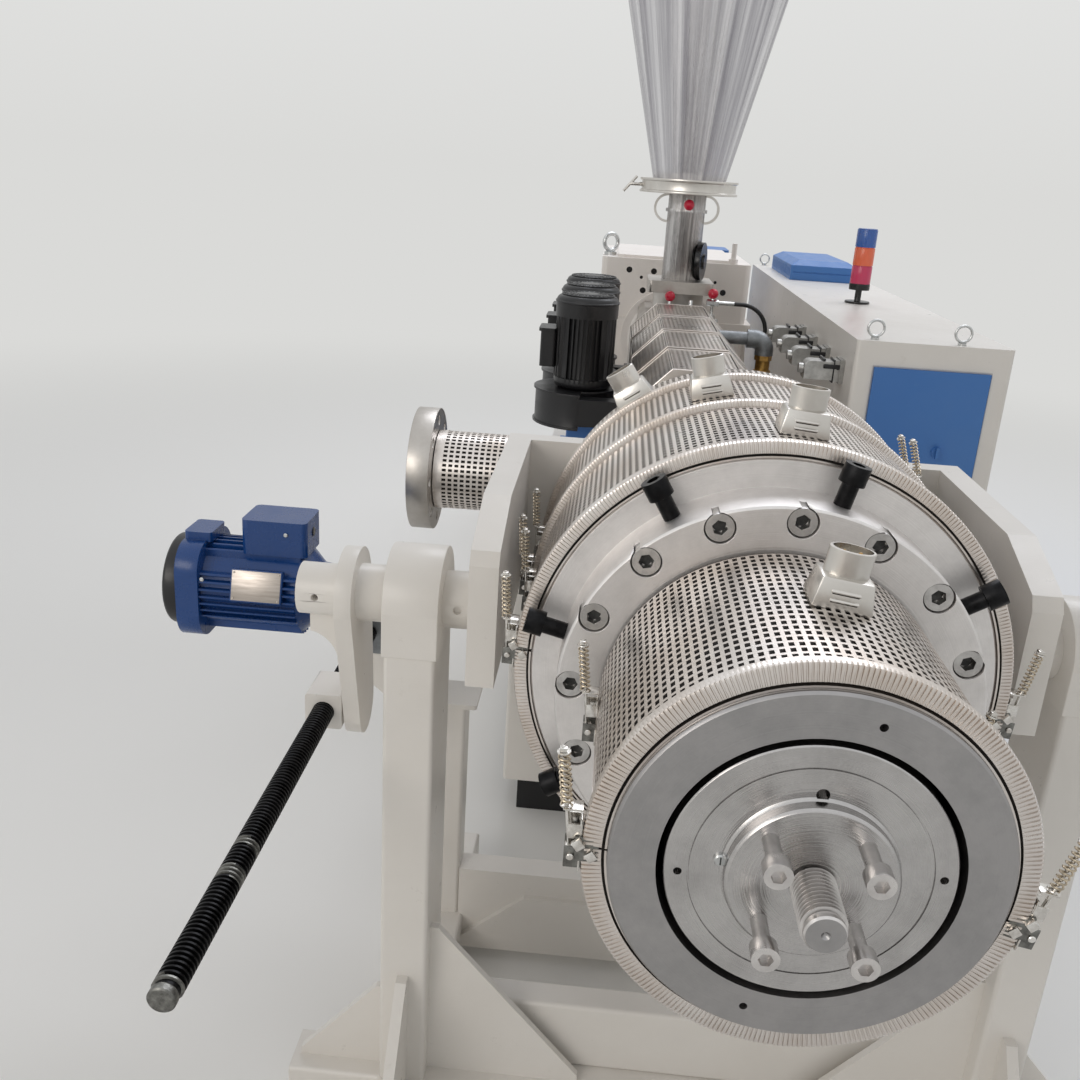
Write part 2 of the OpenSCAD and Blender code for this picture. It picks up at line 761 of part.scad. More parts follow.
module jack_motor() color("#1F4E96") translate([0, gear_y, jack_z + worm_drop]) {
  flange_d = 140;
  cowl = 46;
  neck = 82;
  translate([-motor_x + 12, 0, 0]) rotate([0, -90, 0]) {
    cylinder(d = flange_d, h = 12, $fn = round);
    translate([0, 0, 12]) rotate_extrude($fn = round)
      polygon([[0, 0], [flange_d * 0.36, 0], [flange_d * 0.4, neck * 0.6], [jack_motor_d / 2 - 6, neck],
        [0, neck]]);
  }
  translate([-motor_x - neck, 0, 0]) rotate([0, -90, 0]) {
    linear_extrude(jack_motor_len - neck - cowl) finned_case(jack_motor_d, jack_motor_d - 24, 7, 4, 15);
    translate([-jack_motor_d / 2 - 4, -jack_motor_d / 2 - 4, jack_motor_len - neck - cowl])
      linear_extrude(cowl) soft_rect(jack_motor_d + 8, jack_motor_d + 8, jack_motor_d * 0.3);
  }
  // terminal box on its neck, and the lug of the cowl
  translate([14 - motor_x - neck - jack_box, -52, jack_motor_d / 2 - 14])
    soft_box([0, 0, 0], [jack_box, 104, 72], 12);
  translate([-fan_x, -40, jack_motor_d / 2]) soft_box([0, 0, 0], [cowl + 10, 80, 20], 8);
}

module jack_fan_cover() color("#17181A") translate([-fan_x, gear_y, jack_z + worm_drop]) rotate([0, -90, 0])
  difference() {
    round_disc(jack_motor_d / 2 - 2, fan_cover_len, 9);
    for (r = [26, 44, 62]) translate([0, 0, fan_cover_len - 3]) difference() {
      cylinder(r = r + 3, h = 8, $fn = round);
      translate([0, 0, -slip]) cylinder(r = r - 3, h = 10, $fn = round);
    }
  }

module die_adapter() color("#B9BABB") difference() {
  union() {
    translate([0, 0, axis_h]) {
      bar_y(adapter_d, plate_front, -joint_t);
      bar_y(joint_d, -joint_t, 0, fine);
    }
    box([-150, -inlet_back - 150, axis_h - 150], [150, -inlet_back + 150, axis_h + 150]);
  }
  translate([0, -inlet_back, axis_h]) bar_x(inlet_bore, -151, -60);
}

module die_body() color("#A9ABAC") translate([0, 0, axis_h]) bar_y(body_d, ring_back, plate_front, fine);

module body_bands() color("#C4C5C6") {
  r = body_d / 2;
  second = body_front + band_a + band_gap;
  third = second + band_b + band_gap;
  band(r, band_t, body_front, body_front + band_a);
  band(r, band_t, second, second + band_b);
  band(r, band_t, third, third + band_c);
}

module retaining_ring() color("#B4B7B6") difference() {
  r = body_d / 2;
  b = boss_d / 2;
  e = die_bevel;
  translate([0, 0, axis_h]) turned_y([[bush_d / 2, boss_face], [b - e, boss_face], [b, boss_face + e],
    [b, body_front], [r - e, body_front], [r, body_front + e], [r, ring_back], [bush_d / 2, ring_back]]);
  around(ring_screws_n, ring_clock) translate([ring_circle_d / 2, 0, 0])
    bar_y(ring_sink_d, boss_face - slip, boss_face + ring_sink, plain);
}

module ring_screws() color("#8F9294") around(ring_screws_n, ring_clock)
  translate([ring_circle_d / 2, 0, 0]) difference() {
    bar_y(ring_head_d, boss_face + 4, boss_face + ring_sink, plain);
    bar_y(ring_head_d * 0.55, boss_face, boss_face + 18, 6);
  }

module centring_screws() color("#1C1C1D") around(centring_n, 180 / centring_n + 8.8)
  translate([boss_d / 2, boss_face + 52, 0]) difference() {
    union() {
      bar_x(centring_d, 0, centring_free, plain);
      bar_x(centring_head_d, centring_free, centring_free + centring_head_h, plain);
    }
    bar_x(centring_head_d * 0.55, centring_free + 8, centring_free + centring_head_h + slip, 6);
  }

module die_bush() color("#B0B1B2") translate([0, 0, axis_h]) difference() {
  r = bush_d / 2;
  bore = bush_bore / 2;
  e = die_bevel;
  turned_y([[bore, face_y], [r - e, face_y], [r, face_y + e], [r, ring_back], [bore, ring_back]]);
  for (turn = [75, 255]) rotate([0, -turn, 0]) translate([bush_hole_d / 2, 0, 0])
    bar_y(face_hole_d, face_y - slip, face_y + 20, plain);
}

module bush_band() color("#C4C5C6")
  band(bush_d / 2, bush_band_t, boss_face - bush_band_len - 9, boss_face - 9);

module mandrel() color("#A8AAAC") translate([0, 0, axis_h]) difference() {
  r = mandrel_d / 2;
  h = hub_d / 2;
  g = groove_d / 2;
  e = die_bevel;
  turned_y([[0, hub_face], [h - e, hub_face], [h, hub_face + e], [h, face_y - e], [h + e, face_y],
    [g - 2, face_y], [g - 2, face_y + 2], [g, face_y + 2], [g, face_y], [r - e / 2, face_y],
    [r, face_y + e / 2], [r, ring_back], [0, ring_back]]);
  translate([0, 0, h + 6]) bar_y(14, face_y - slip, face_y + 30, plain);
  for (turn = [3.4, 184.6]) rotate([0, -turn, 0]) translate([mandrel_hole_d / 2, 0, 0])
    bar_y(face_hole_d, face_y - slip, face_y + 20, plain);
}

module mandrel_screws() color("#B9BBBD")
  for (x = [-1, 1], z = [-1, 1])
    translate([x * mandrel_pitch / 2, hub_face, axis_h + z * mandrel_pitch / 2]) difference() {
      union() {
        bar_y(mandrel_screw_d, -mandrel_reach, 0, plain);
        bar_y(mandrel_head_d, -mandrel_reach, mandrel_head_h - mandrel_reach, plain);
      }
      bar_y(mandrel_head_d * 0.55, -mandrel_reach - slip, 10 - mandrel_reach, 6);
    }

module draw_stud() color("#B4B6B8") translate([0, 0, axis_h]) difference() {
  tip = hub_face - stud_reach;
  union() {
    bar_y(stud_d, tip + 16, hub_face, plain);
    turned_y([[0, tip], [stud_d / 2 - 6, tip], [stud_d / 2 - 4, tip + 2], [stud_d / 2 - 4, tip + 16],
      [0, tip + 16]]);
  }
  bar_y(9, tip - slip, tip + 12, 12);
}

module heater_plugs() color("#BFC0C1") {
  spots = [[boss_face - 150, bush_d / 2 + bush_band_t, -11.5],
    [body_front + 110, band_r, -8], [body_front + 380, band_r, 14], [plate_front - 60, band_r, 36]];
  for (p = spots) translate([0, p[0], axis_h]) rotate([0, -p[2], 0]) translate([0, 0, p[1]]) plug_box();
}

module inlet_tube() color("#C0C1C2") translate([0, -inlet_back, axis_h]) difference() {
  bar_x(inlet_d, inlet_flange_t - inlet_reach, -150);
  bar_x(inlet_bore, -inlet_reach, -149);
}

module inlet_flange() color("#B2B3B4") translate([0, -inlet_back, axis_h]) difference() {
  bar_x(inlet_flange_d, -inlet_reach, inlet_flange_t - inlet_reach, fine);
  bar_x(inlet_bore, -inlet_reach - slip, 0);
  for (i = [0 : inlet_holes_n - 1]) rotate([i * 360 / inlet_holes_n, 0, 0])
    translate([0, inlet_circle_d / 2, 0]) bar_x(inlet_hole_d, -inlet_reach - slip, 0, plain);
}

module barrel() color("#A7A9AA") translate([0, 0, axis_h]) {
  bar_y(joint_d, 0, joint_t, fine);
  bar_y(barrel_d, joint_t, feed_y - feed_block_w / 2);
}

// Covers over the barrel heaters: set-in panels between raised end rims
module zone_covers() color("#BDBEBF")
  for (i = [0 : zones_n - 1]) translate([0, zone_y + i * zone_pitch, axis_h]) difference() {
    union() {
      rotate([90, 0, 0]) mirror([0, 0, 1]) linear_extrude(zone_len) zone_profile(zone_step);
      for (y = [0, zone_len - zone_rim])
        translate([0, y, 0]) rotate([90, 0, 0]) mirror([0, 0, 1]) linear_extrude(zone_rim) zone_profile(0);
    }
    bar_y(barrel_d, -slip, zone_len + slip);
  }

module barrel_stands() color("#E9E4D4")
  for (zone = [0, zones_n - 1]) translate([0, zone_y + zone * zone_pitch + 60, 0]) {
    top = axis_h - zone_h / 2 + zone_step;
    soft_box([-150, 0, bed_h], [150, 100, bed_h + 14], tube_r);
    translate([0, 60, bed_h + 14]) rotate([90, 0, 0]) linear_extrude(20)
      polygon([[-140, 0], [140, 0], [105, top - bed_h - 28], [-105, top - bed_h - 28]]);
    box([-125, 0, top - 14], [125, 100, top]);
  }

module blower_housings() color("#1D1D1F")
  for (i = [0 : blowers_n - 1]) translate([-blower_x, blower_y + i * blower_pitch, axis_h + blower_up]) {
    side = blower_x - zone_w / 2 + zone_step;
    mouth = 4 * blower_step;
    translate([0, 0, -blower_h]) linear_extrude(blower_h) scroll(blower_r);
    for (z = [-blower_h, -7]) translate([0, 0, z]) linear_extrude(7) scroll(blower_r + blower_lip);
    box([0, -blower_r, 14 - blower_h], [side, mouth - blower_r, -14]);
    box([side - 22, -blower_r - 8, 8 - blower_h], [side - zone_step - 4, mouth - blower_r + 8, -8]);
  }

module blower_motors() color("#242528")
  for (i = [0 : blowers_n - 1]) translate([-blower_x, blower_y + i * blower_pitch, axis_h + blower_up]) {
    r = blower_motor_d / 2;
    finned_motor(blower_motor_d, blower_motor_h, 9, 8, 4, 15, 34, 66);
    translate([0, 0, blower_motor_h - 20]) rotate_extrude($fn = round) translate([r + 2, 0])
      circle(d = 8, $fn = plain);
    soft_box([-r - 44, -52, 66], [6 - r, 52, 176], 10);
    soft_box([-r - 50, -56, 176], [4 - r, 56, 186], 10);
  }

// Pedestals that carry the blowers on the bed
module blower_stands() color("#2C5C9C")
  for (i = [0 : blowers_n - 1]) translate([-blower_x, blower_y + i * blower_pitch, 0]) {
    top = axis_h + blower_up - blower_h;
    soft_box([-90, -90, bed_h], [90, 90, bed_h + 10], 10);
    soft_box([-40, -40, bed_h + 10], [40, 40, top - 10], 6);
    soft_box([-80, -80, top - 10], [80, 80, top], 10);
  }

// Vent of the third zone: pipe, elbow and the drop pipe to the bed
module vent_pipe() color("#8F9193") {
  y = vent_y;
  z = axis_h + vent_up;
  bend_r = vent_bend;
  difference() {
    translate([0, y, z]) bar_x(vent_d, zone_w / 2 - zone_chamfer, vent_x - bend_r);
    translate([0, y - vent_d, axis_h]) rotate([90, 0, 0]) mirror([0, 0, 1]) linear_extrude(2 * vent_d)
      zone_profile(zone_step);
  }
  translate([0, y, z]) {
    bar_x(elbow_d, vent_x - bend_r - 24, vent_x - bend_r);
    translate([vent_x - bend_r, 0, -bend_r]) rotate([90, 0, 0]) bend(elbow_d, bend_r);
    translate([vent_x, 0, vent_low - z]) cylinder(d = elbow_d, h = z - bend_r - vent_low, $fn = round);
  }
  translate([vent_x, y, bed_h]) cylinder(d = elbow_d, h = 12, $fn = round);
  translate([vent_x, y, bed_h + 12])
    cylinder(d = vent_d - 8, h = vent_low - vent_valve_h - bed_h - 12, $fn = round);
}

module vent_valve() color("#A8763A") translate([vent_x, vent_y, vent_low - vent_valve_h]) {
  cylinder(d = elbow_d - 2, h = 18, $fn = 6);
  translate([0, 0, 18]) cylinder(d = elbow_d - 14, h = vent_valve_h - 36, $fn = round);
  translate([0, 0, vent_valve_h - 18]) cylinder(d = elbow_d - 2, h = 18, $fn = 6);
}

module feed_block() color("#B7B8B9") difference() {
  w = feed_block_w / 2;
  f = feed_flange_w / 2;
  union() {
    translate([0, barrel_len, axis_h]) rotate([90, 0, 0]) linear_extrude(barrel_len - feed_y + w)
      polygon([[-w, -170], [w, -170], [w, feed_block_up - 24], [w - 24, feed_block_up],
        [24 - w, feed_block_up], [-w, feed_block_up - 24]]);
    translate([0, feed_y, valve_z]) cylinder(d = feed_neck_d, h = feed_neck_up - feed_block_up, $fn = fine);
    soft_box([-f, feed_y - f, feed_flange_z], [f, feed_y + f, pipe_z], 14);
  }
  translate([0, feed_y, axis_h + 40]) cylinder(d = feed_pipe_d - 2 * sheet_t, h = 400, $fn = round);
}

// Drain and air valves on a manifold in front of the feed neck
module feed_valves() color("#A9A49A") {
  stems = [[valve_left, 64], [valve_right, 84]];
  soft_box([valve_left - 22, valve_y - 18, valve_z - 36], [valve_right + 27, valve_y + 18, valve_z], 4);
  for (s = stems) translate([s[0], valve_y, valve_z]) {
    cylinder(d = 30, h = 16, $fn = 6);
    cylinder(d = 12, h = s[1], $fn = plain);
  }
  translate([42, valve_y, valve_z]) {
    cylinder(d = 26, h = 10, $fn = 6);
    cylinder(d = 16, h = 66, $fn = plain);
  }
  // bent pipe from the left valve back into the manifold
  translate([0, valve_y, valve_z + 36]) {
    bar_x(11, valve_left, 76, plain);
    translate([76, 0, -12]) rotate([90, 0, 0]) bend(11, 12);
  }
  translate([88, valve_y, valve_z]) cylinder(d = 11, h = 24, $fn = plain);
  // air cock and ferrule of the hose
  translate([0, valve_y, tap_z]) {
    bar_x(26, valve_right - 22, valve_right + 24, 6);
    bar_x(17, valve_right + 24, hose_x, plain);
  }
}

// Round knobs on the valve stems and on the drain rod of the feed pipe
module valve_knobs() color("#C0182C") {
  for (s = [[valve_left, 64], [valve_right, 84]]) translate([s[0], valve_y, valve_z]) difference() {
    translate([0, 0, s[1] + knob_d * 0.3]) sphere(d = knob_d, $fn = round);
    cylinder(d = 12, h = s[1], $fn = plain);
  }
  translate([0, feed_y - feed_pipe_d / 2 - 75, gate_z - 37]) difference() {
    sphere(d = knob_d, $fn = round);
    bar_y(12, 0, knob_d, plain);
  }
}

// Air hose from the feed valves to its gland in the bed
module air_hose() color("#1A1A1B") {
  lead = 31;
  translate([0, valve_y, tap_z]) bar_x(hose_d, hose_x, hose_x + lead, plain);
  translate([hose_x + lead, valve_y, tap_z - hose_bend]) rotate([90, 0, 0]) bend(hose_d, hose_bend);
  translate([hose_x + lead + hose_bend, valve_y, bed_h]) {
    cylinder(d = hose_d, h = tap_z - hose_bend - bed_h, $fn = plain);
    cylinder(d = hose_d + 20, h = 8, $fn = plain);
  }
}

module feed_pipe() color("#C2C4C5") translate([0, feed_y, 0]) difference() {
  union() {
    translate([0, 0, pipe_z]) cylinder(d = feed_pipe_d, h = gate_z - pipe_z, $fn = round);
    translate([0, 0, gate_z - feed_collar]) cylinder(d = feed_pipe_d + 16, h = 12, $fn = round);
    // drain rod towards the front, below the clamp ring
    translate([0, 0, gate_z - 37]) bar_y(12, -feed_pipe_d / 2 - 75, -feed_pipe_d / 2 + 2, plain);
  }
  translate([0, 0, pipe_z - slip]) cylinder(d = feed_pipe_d - 2 * sheet_t, h = feed_top, $fn = round);
}

module port_cover() color("#1B1B1C") translate([0, feed_y, axis_h + port_up]) difference() {
  near = feed_pipe_d / 2 - 7;
  rotate([0, 0, port_turn]) {
    bar_y(port_d, -near - 22, -near);
    bar_y(port_d * 0.4, -near - 30, -near - 22);
  }
  translate([0, 0, -port_d]) cylinder(d = feed_pipe_d, h = 2 * port_d, $fn = round);
}

// Clamp ring between the feed pipe and the hopper
module slide_gate() color("#B9BBBC") translate([0, feed_y, gate_z]) difference() {
  r = gate_d / 2;
  rotate_extrude($fn = fine) polygon([[0, 0], [r, 0], [r, 8], [r - 7, 11], [r - 7, gate_h - 11],
    [r, gate_h - 8], [r, gate_h], [0, gate_h]]);
  translate([0, 0, -slip]) cylinder(d = feed_pipe_d - 2 * sheet_t, h = gate_h + 2 * slip, $fn = round);
}

// T-handle of the clamp ring and its two curved arms down to the feed pipe
module clamp_arms() color("#B9BBBC") translate([0, feed_y, gate_z]) {
  r = gate_d / 2 - 7;
  difference() {
    translate([0, 0, gate_h / 2]) bar_x(14, -r - 45, -r + 10, plain);
    translate([0, 0, 11]) cylinder(r = r, h = gate_h - 22, $fn = fine);
  }
  translate([-r - 45, 0, gate_h / 2]) rotate([0, 40, 0]) translate([0, 0, -38])
    cylinder(d = 11, h = 76, $fn = plain);
  both_sides() difference() {
    translate([feed_pipe_d / 2, 12, -clamp_r]) rotate([90, 0, 0]) linear_extrude(24) difference() {
      circle(clamp_r, $fn = round);
      circle(clamp_r - 9, $fn = round);
    }
    translate([0, 0, -2 * clamp_r - slip]) cylinder(d = feed_pipe_d, h = 2 * clamp_r + 2 * slip, $fn = round);
  }
}

// Cone of sheet metal, bent along straight lines on a press brake
module bent_cone(low_r, high_r, h) {
  linear_extrude(h, scale = high_r / low_r) circle(low_r, $fn = hopper_bends);
}

module hopper_cone() color("#CFD1D2") translate([0, feed_y, hopper_z]) difference() {
  bent_cone(hopper_mouth_r, hopper_r, cone_h);
  bent_cone(hopper_mouth_r - sheet_t, hopper_r - sheet_t, cone_h + 0.01);
}

module hopper_drum() color("#CFD1D2") translate([0, feed_y, drum_z]) linear_extrude(drum_h) difference() {
  circle(hopper_r, $fn = hopper_bends);
  circle(hopper_r - sheet_t, $fn = hopper_bends);
}

module hopper_lid() color("#C9CBCC") translate([0, feed_y, drum_z + drum_h]) {
  cylinder(r = hopper_r + 8, h = 12, $fn = fine);
  translate([0, 0, 12]) round_disc(100, 60, 14);
}

// Gearbox casting: two halves on a split flange, with ribs and bearing caps
module gearbox() color("#E6E1CF") {
  w = gearbox_w / 2;
  back = gearbox_y + gearbox_len;
  split = axis_h + gearbox_split;
  top = axis_h + gearbox_up;
  difference() {
    union() {
      soft_box([-w - 50, gear_front - 20, bed_h], [w + 50, back, bed_h + 36], 20);
      soft_box([-w, gear_front, bed_h + 36], [w, back, top - 12], 24);
      soft_box([-w - 26, gear_front - 12, split - 22], [w + 26, back, split + 22], 24);
      soft_box([-w + 66, gear_front + 24, top - 12], [w - 66, back - 24, top], 20);
    }
    // tapped holes in the front for the feeder bracket
    for (p = [[-200, 284], [-94, 283], [-135, 200], [210, 212]])
      translate([p[0], 0, axis_h + p[1]]) bar_y(26, gear_front - slip, gear_front + 18, plain);
    for (p = [[-146, 255], [172, 253]])
      translate([p[0], 0, axis_h + p[1]]) bar_y(14, gear_front - slip, gear_front + 14, plain);
  }
  translate([0, 0, axis_h]) {
    turned_y([[0, gearbox_y], [bearing_cap_d / 2 - 40, gearbox_y], [bearing_cap_d / 2 - 30, gearbox_y + 14],
      [bearing_cap_d / 2, gearbox_y + 14], [bearing_cap_d / 2, gear_front], [0, gear_front]]);
    bar_y(180, back, back + 20);
  }
  both_sides() for (y = [0.2, 0.5, 0.8]) translate([w, gear_front + y * (back - gear_front), bed_h + 36])
    rotate([90, 0, 0]) translate([0, 0, -9]) linear_extrude(18)
      polygon([[0, 0], [44, 0], [26, split - 22 - bed_h - 36], [0, split - 22 - bed_h - 36]]);
  translate([w - 78, gear_front + 30, top - 12]) {
    cylinder(d = 40, h = 20, $fn = 6);
    cylinder(d = 22, h = 85, $fn = plain);
  }
}

module lifting_eye() color("#A8A89E")
  translate([32 - gearbox_w / 2, gear_front + 110, axis_h + gearbox_up - 12]) rotate([0, 0, 35])
    eye_bolt(lift_eye_r, 18, 14);

module coupling_guard() color("#E2C23A")
  translate([0, motor_y, axis_h]) rotate([90, 0, 0]) linear_extrude(coupling_len - 20) union() {
    circle(110, $fn = fine);
    translate([-110, bed_h - axis_h]) square([220, axis_h - bed_h]);
  }

module main_motor() color("#2C5C9C") {
  translate([0, motor_y, axis_h]) rotate([-90, 0, 0])
    finned_motor(motor_d, motor_len, motor_fin, 11, 7, 26, 80, 150);
  soft_box([60, motor_y + 180, axis_h + 120], [motor_d / 2 + 90, motor_y + 460, axis_h + 320], 20);
}

// Cradle feet that carry the main motor on the bed
module motor_feet() color("#2C5C9C") {
  r = motor_d / 2;
  for (y = [motor_y + 140, motor_y + motor_len - 260]) difference() {
    translate([0, y + 80, 0]) rotate([90, 0, 0]) linear_extrude(80)
      polygon([[-r, bed_h], [r, bed_h], [r, bed_h + 30], [r - 60, axis_h - 100], [60 - r, axis_h - 100],
        [-r, bed_h + 30]]);
    translate([0, 0, axis_h]) bar_y(motor_d, y - slip, y + 80 + slip, fine);
  }
}

module bed() color("#E9E4D4")
  soft_box([-bed_x, -bed_nose, plinth_h], [bed_x, bed_len - bed_nose, bed_h], cabinet_r);

module plinth() color("#18181A") {
  i = plinth_inset;
  box([i - bed_x, i - bed_nose, 0], [bed_x - i, bed_len - bed_nose - i, plinth_h]);
  box([bed_x - i, cabinet_y + i, 0], [side_x - i, cabinet_y + cabinet_len - i, plinth_h]);
}

// Seat of a door or panel in the cabinet, with the gap around it
module door_seats(gap, out) {
  low = plinth_h + panel_foot;
  high = cabinet_h - panel_drop;
  x = bed_x + (cabinet_w - panel_w) / 2;
  box([x - gap, cabinet_y - out, low - gap], [x + panel_w + gap, cabinet_y + reveal, high + gap]);
}

// Seats of the two long side doors
module side_seats(gap, out) {
  low = plinth_h + panel_foot;
  high = cabinet_h - panel_drop;
  for (i = [0, 1]) translate([0, cabinet_y + panel_foot + i * (door_len + panel_foot), 0])
    box([side_x - reveal, -gap, low - gap], [side_x + out, door_len + gap, high + gap]);
}

module cabinet() color("#ECE8DA") difference() {
  soft_box([bed_x, cabinet_y, plinth_h], [side_x, cabinet_y + cabinet_len, cabinet_h], cabinet_r);
  door_seats(reveal, slip);
  side_seats(reveal, slip);
}

module front_panel() color("#2C5C9C") {
  door_seats(0, panel_t);
  // quarter-turn lock
  translate([bed_x + (cabinet_w + panel_w) / 2 - 117, 0, cabinet_h - 312]) {
    bar_y(30, cabinet_y - panel_t - 7, cabinet_y - panel_t, plain);
    translate([-5, cabinet_y - panel_t - 19, -17]) cube([10, 12, 34]);
  }
}

module side_doors() color("#2C5C9C") {
  side_seats(0, panel_t);
  // swing handles
  for (i = [0, 1])
    translate([side_x + panel_t, cabinet_y + panel_foot + i * (door_len + panel_foot) + 40, 640])
      soft_box([0, 0, 0], [16, 28, 160], 5);
}

// Plug hoods on the heater sockets of the cabinet side
module heater_sockets() color("#8C8E90")
  for (i = [0 : sockets_n - 1])
    translate([bed_x, cabinet_y + socket_y + i * socket_pitch, cabinet_h - socket_drop]) {
    half = socket_w / 2;
    box([-14, -half - 6, -half - 4], [0, half + 6, half + 4]);
    box([-30, -half, -half], [-14, half, half]);
    translate([-socket_len, half, 0]) rotate([90, 0, 0]) linear_extrude(socket_w) union() {
      translate([22, -half + 4]) square([socket_len - 52, socket_w - 8]);
      translate([0, -half + 4]) square([socket_len - 30, socket_w - 30]);
      translate([22, half - 26]) circle(22, $fn = plain);
    }
    bar_x(30, -socket_len - 14, -socket_len, plain);
  }

// Cross-section of the roof hood: upright lips and a bevelled top
module hood_profile(w) {
  bevel = 40;
  polygon([[0, 0], [w, 0], [w, hood_lip], [w - bevel, hood_h], [bevel, hood_h], [0, hood_lip]]);
}

// Vent hood on the cabinet roof, with louvres along its sides
module roof_hood() color("#2C5C9C")
  translate([bed_x + (cabinet_w - hood_w) / 2, cabinet_y + cabinet_len - hood_back - hood_len, cabinet_h]) {
    slots = 16;
    difference() {
      intersection() {
        translate([0, hood_len, 0]) rotate([90, 0, 0]) linear_extrude(hood_len)
          hood_profile(hood_w);
        rotate([90, 0, 90]) linear_extrude(hood_w)
          hood_profile(hood_len);
      }
      for (x = [-slip, hood_w - 5], k = [1 : slots]) translate([x, k * hood_len / (slots + 1) - 5, 14])
        cube([5 + slip, 10, hood_lip - 26]);
      translate([14, -slip, hood_lip * 0.5]) cube([hood_w - 28, 4 + slip, 5]);
    }
  }

module signal_tower() color("#1A1A1C")
  translate([bed_x + tower_x, cabinet_y + tower_y, cabinet_h]) {
    round_disc(46, 8, 3);
    cylinder(d = 24, h = 50, $fn = plain);
    translate([0, 0, 50]) round_disc(lens_d / 2 + 1, 23, 3);
  }

// Three stacked lenses of the signal tower on one core
module tower_lamps() color("#C42B4B") translate([bed_x + tower_x, cabinet_y + tower_y, cabinet_h + 73]) {
  h = (tower_h - 73) / 3;
  cylinder(d = lens_d - 4, h = 3 * h, $fn = round);
  for (i = [0 : 2]) translate([0, 0, i * h]) cylinder(d = lens_d, h = h - 4, $fn = round);
}

module cabinet_eyes() color("#C9CBCC")
  for (x = [eye_left, cabinet_w - eye_right], y = [eye_end, cabinet_len - eye_end])
    translate([bed_x + x, cabinet_y + y, cabinet_h]) eye_bolt(23, 8, 7);

trolley_base();
trolley_posts();
bearing_blocks();
tilt_shafts();
yoke();
lever_arm();
jack_nut();
jack_screw();
jack_gearbox();
jack_bracket();
jack_motor();
jack_fan_cover();
die_adapter();
die_body();
body_bands();
retaining_ring();
ring_screws();
centring_screws();
die_bush();
bush_band();
mandrel();
mandrel_screws();
draw_stud();
heater_plugs();
inlet_tube();
inlet_flange();
barrel();
zone_covers();
barrel_stands();
blower_housings();
blower_motors();
blower_stands();
vent_pipe();
vent_valve();
feed_block();
feed_valves();
valve_knobs();
air_hose();
feed_pipe();
port_cover();
slide_gate();
clamp_arms();
hopper_cone();
hopper_drum();
hopper_lid();
gearbox();
lifting_eye();
coupling_guard();
main_motor();
motor_feet();
bed();
plinth();
cabinet();
front_panel();
side_doors();
heater_sockets();
roof_hood();
signal_tower();
tower_lamps();
cabinet_eyes();
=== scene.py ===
# %% [markdown]
# # A pipe extruder with its die head
# This notebook dresses a plastic pipe extruder. A heated barrel with a hopper feeds a die head, which sits
# in a trolley that can tilt it. The solids come from the CAD model and stay where they are. Blender adds
# what the CAD leaves out: perforated heater covers, springs, threads, edges that catch the light, and paint
# and metal finishes.

# %% Load the frame
import math
import bmesh
import bpy
from mathutils import Matrix, Vector


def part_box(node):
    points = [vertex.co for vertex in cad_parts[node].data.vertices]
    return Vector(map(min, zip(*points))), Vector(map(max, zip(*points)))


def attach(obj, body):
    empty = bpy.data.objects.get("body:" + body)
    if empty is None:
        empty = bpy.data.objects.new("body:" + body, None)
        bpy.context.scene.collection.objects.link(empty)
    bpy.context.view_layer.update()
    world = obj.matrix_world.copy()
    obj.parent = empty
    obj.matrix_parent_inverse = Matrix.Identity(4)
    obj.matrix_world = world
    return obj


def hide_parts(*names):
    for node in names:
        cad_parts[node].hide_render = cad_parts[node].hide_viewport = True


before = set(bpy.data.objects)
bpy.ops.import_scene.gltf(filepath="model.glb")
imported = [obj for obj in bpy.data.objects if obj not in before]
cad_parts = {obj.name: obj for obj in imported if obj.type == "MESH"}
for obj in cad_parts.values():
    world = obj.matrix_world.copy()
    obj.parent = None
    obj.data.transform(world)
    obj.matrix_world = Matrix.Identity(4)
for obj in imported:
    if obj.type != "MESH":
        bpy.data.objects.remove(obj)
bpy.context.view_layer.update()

# %% [markdown]
# ## The camera
# The picture was taken from in front of the die, a little to its left, and looks down on it. A camera was
# fitted to the circles and bolt holes of the die. It is 1.73 m above the floor and sees as a 35 mm lens
# does.

# %% Camera
def looking(yaw, pitch, roll):
    """The turn of a camera that looks along +Y, then yaws right, pitches down and rolls, in degrees."""
    level = Matrix.Rotation(math.radians(90), 3, "X")
    return (Matrix.Rotation(math.radians(-yaw), 3, "Z") @ Matrix.Rotation(math.radians(-pitch), 3, "X")
            @ level @ Matrix.Rotation(math.radians(roll), 3, "Z"))


eye = bpy.data.cameras.new("photo_view")
eye.lens = 35.44
eye.sensor_width = 36.0
eye.clip_end = 400.0
camera = bpy.data.objects.new("photo_view", eye)
bpy.context.collection.objects.link(camera)
camera.location = (-0.2492, -2.6513, 1.7276)
camera.rotation_euler = looking(-3.2, 19.28, 3.53).to_euler()
bpy.context.scene.camera = camera
print("camera at", tuple(round(v, 3) for v in camera.location))

# %% [markdown]
# ## Colours and nodes
# People write colours as hex values, but shaders work on linear light, so one function converts them. A
# second function adds a shader node with its settings and its links in one line, which keeps each finish
# short. A third starts a material with the Object coordinates that every pattern here reads.

# %% Colour and node helpers
def linear(hex_colour):
    """A linear RGBA colour from an sRGB hex string."""
    parts = [int(hex_colour[i:i + 2], 16) / 255 for i in (1, 3, 5)]
    return tuple(c / 12.92 if c <= 0.04045 else ((c + 0.055) / 1.055) ** 2.4 for c in parts) + (1.0,)


def add(tree, kind, inputs=None, **settings):
    """Adds a node, sets its properties, and fills or links its inputs."""
    node = tree.nodes.new(kind)
    for key, value in settings.items():
        setattr(node, key, value)
    for key, value in (inputs or {}).items():
        if isinstance(value, bpy.types.NodeSocket):
            tree.links.new(value, node.inputs[key])
        else:
            node.inputs[key].default_value = value
    return node


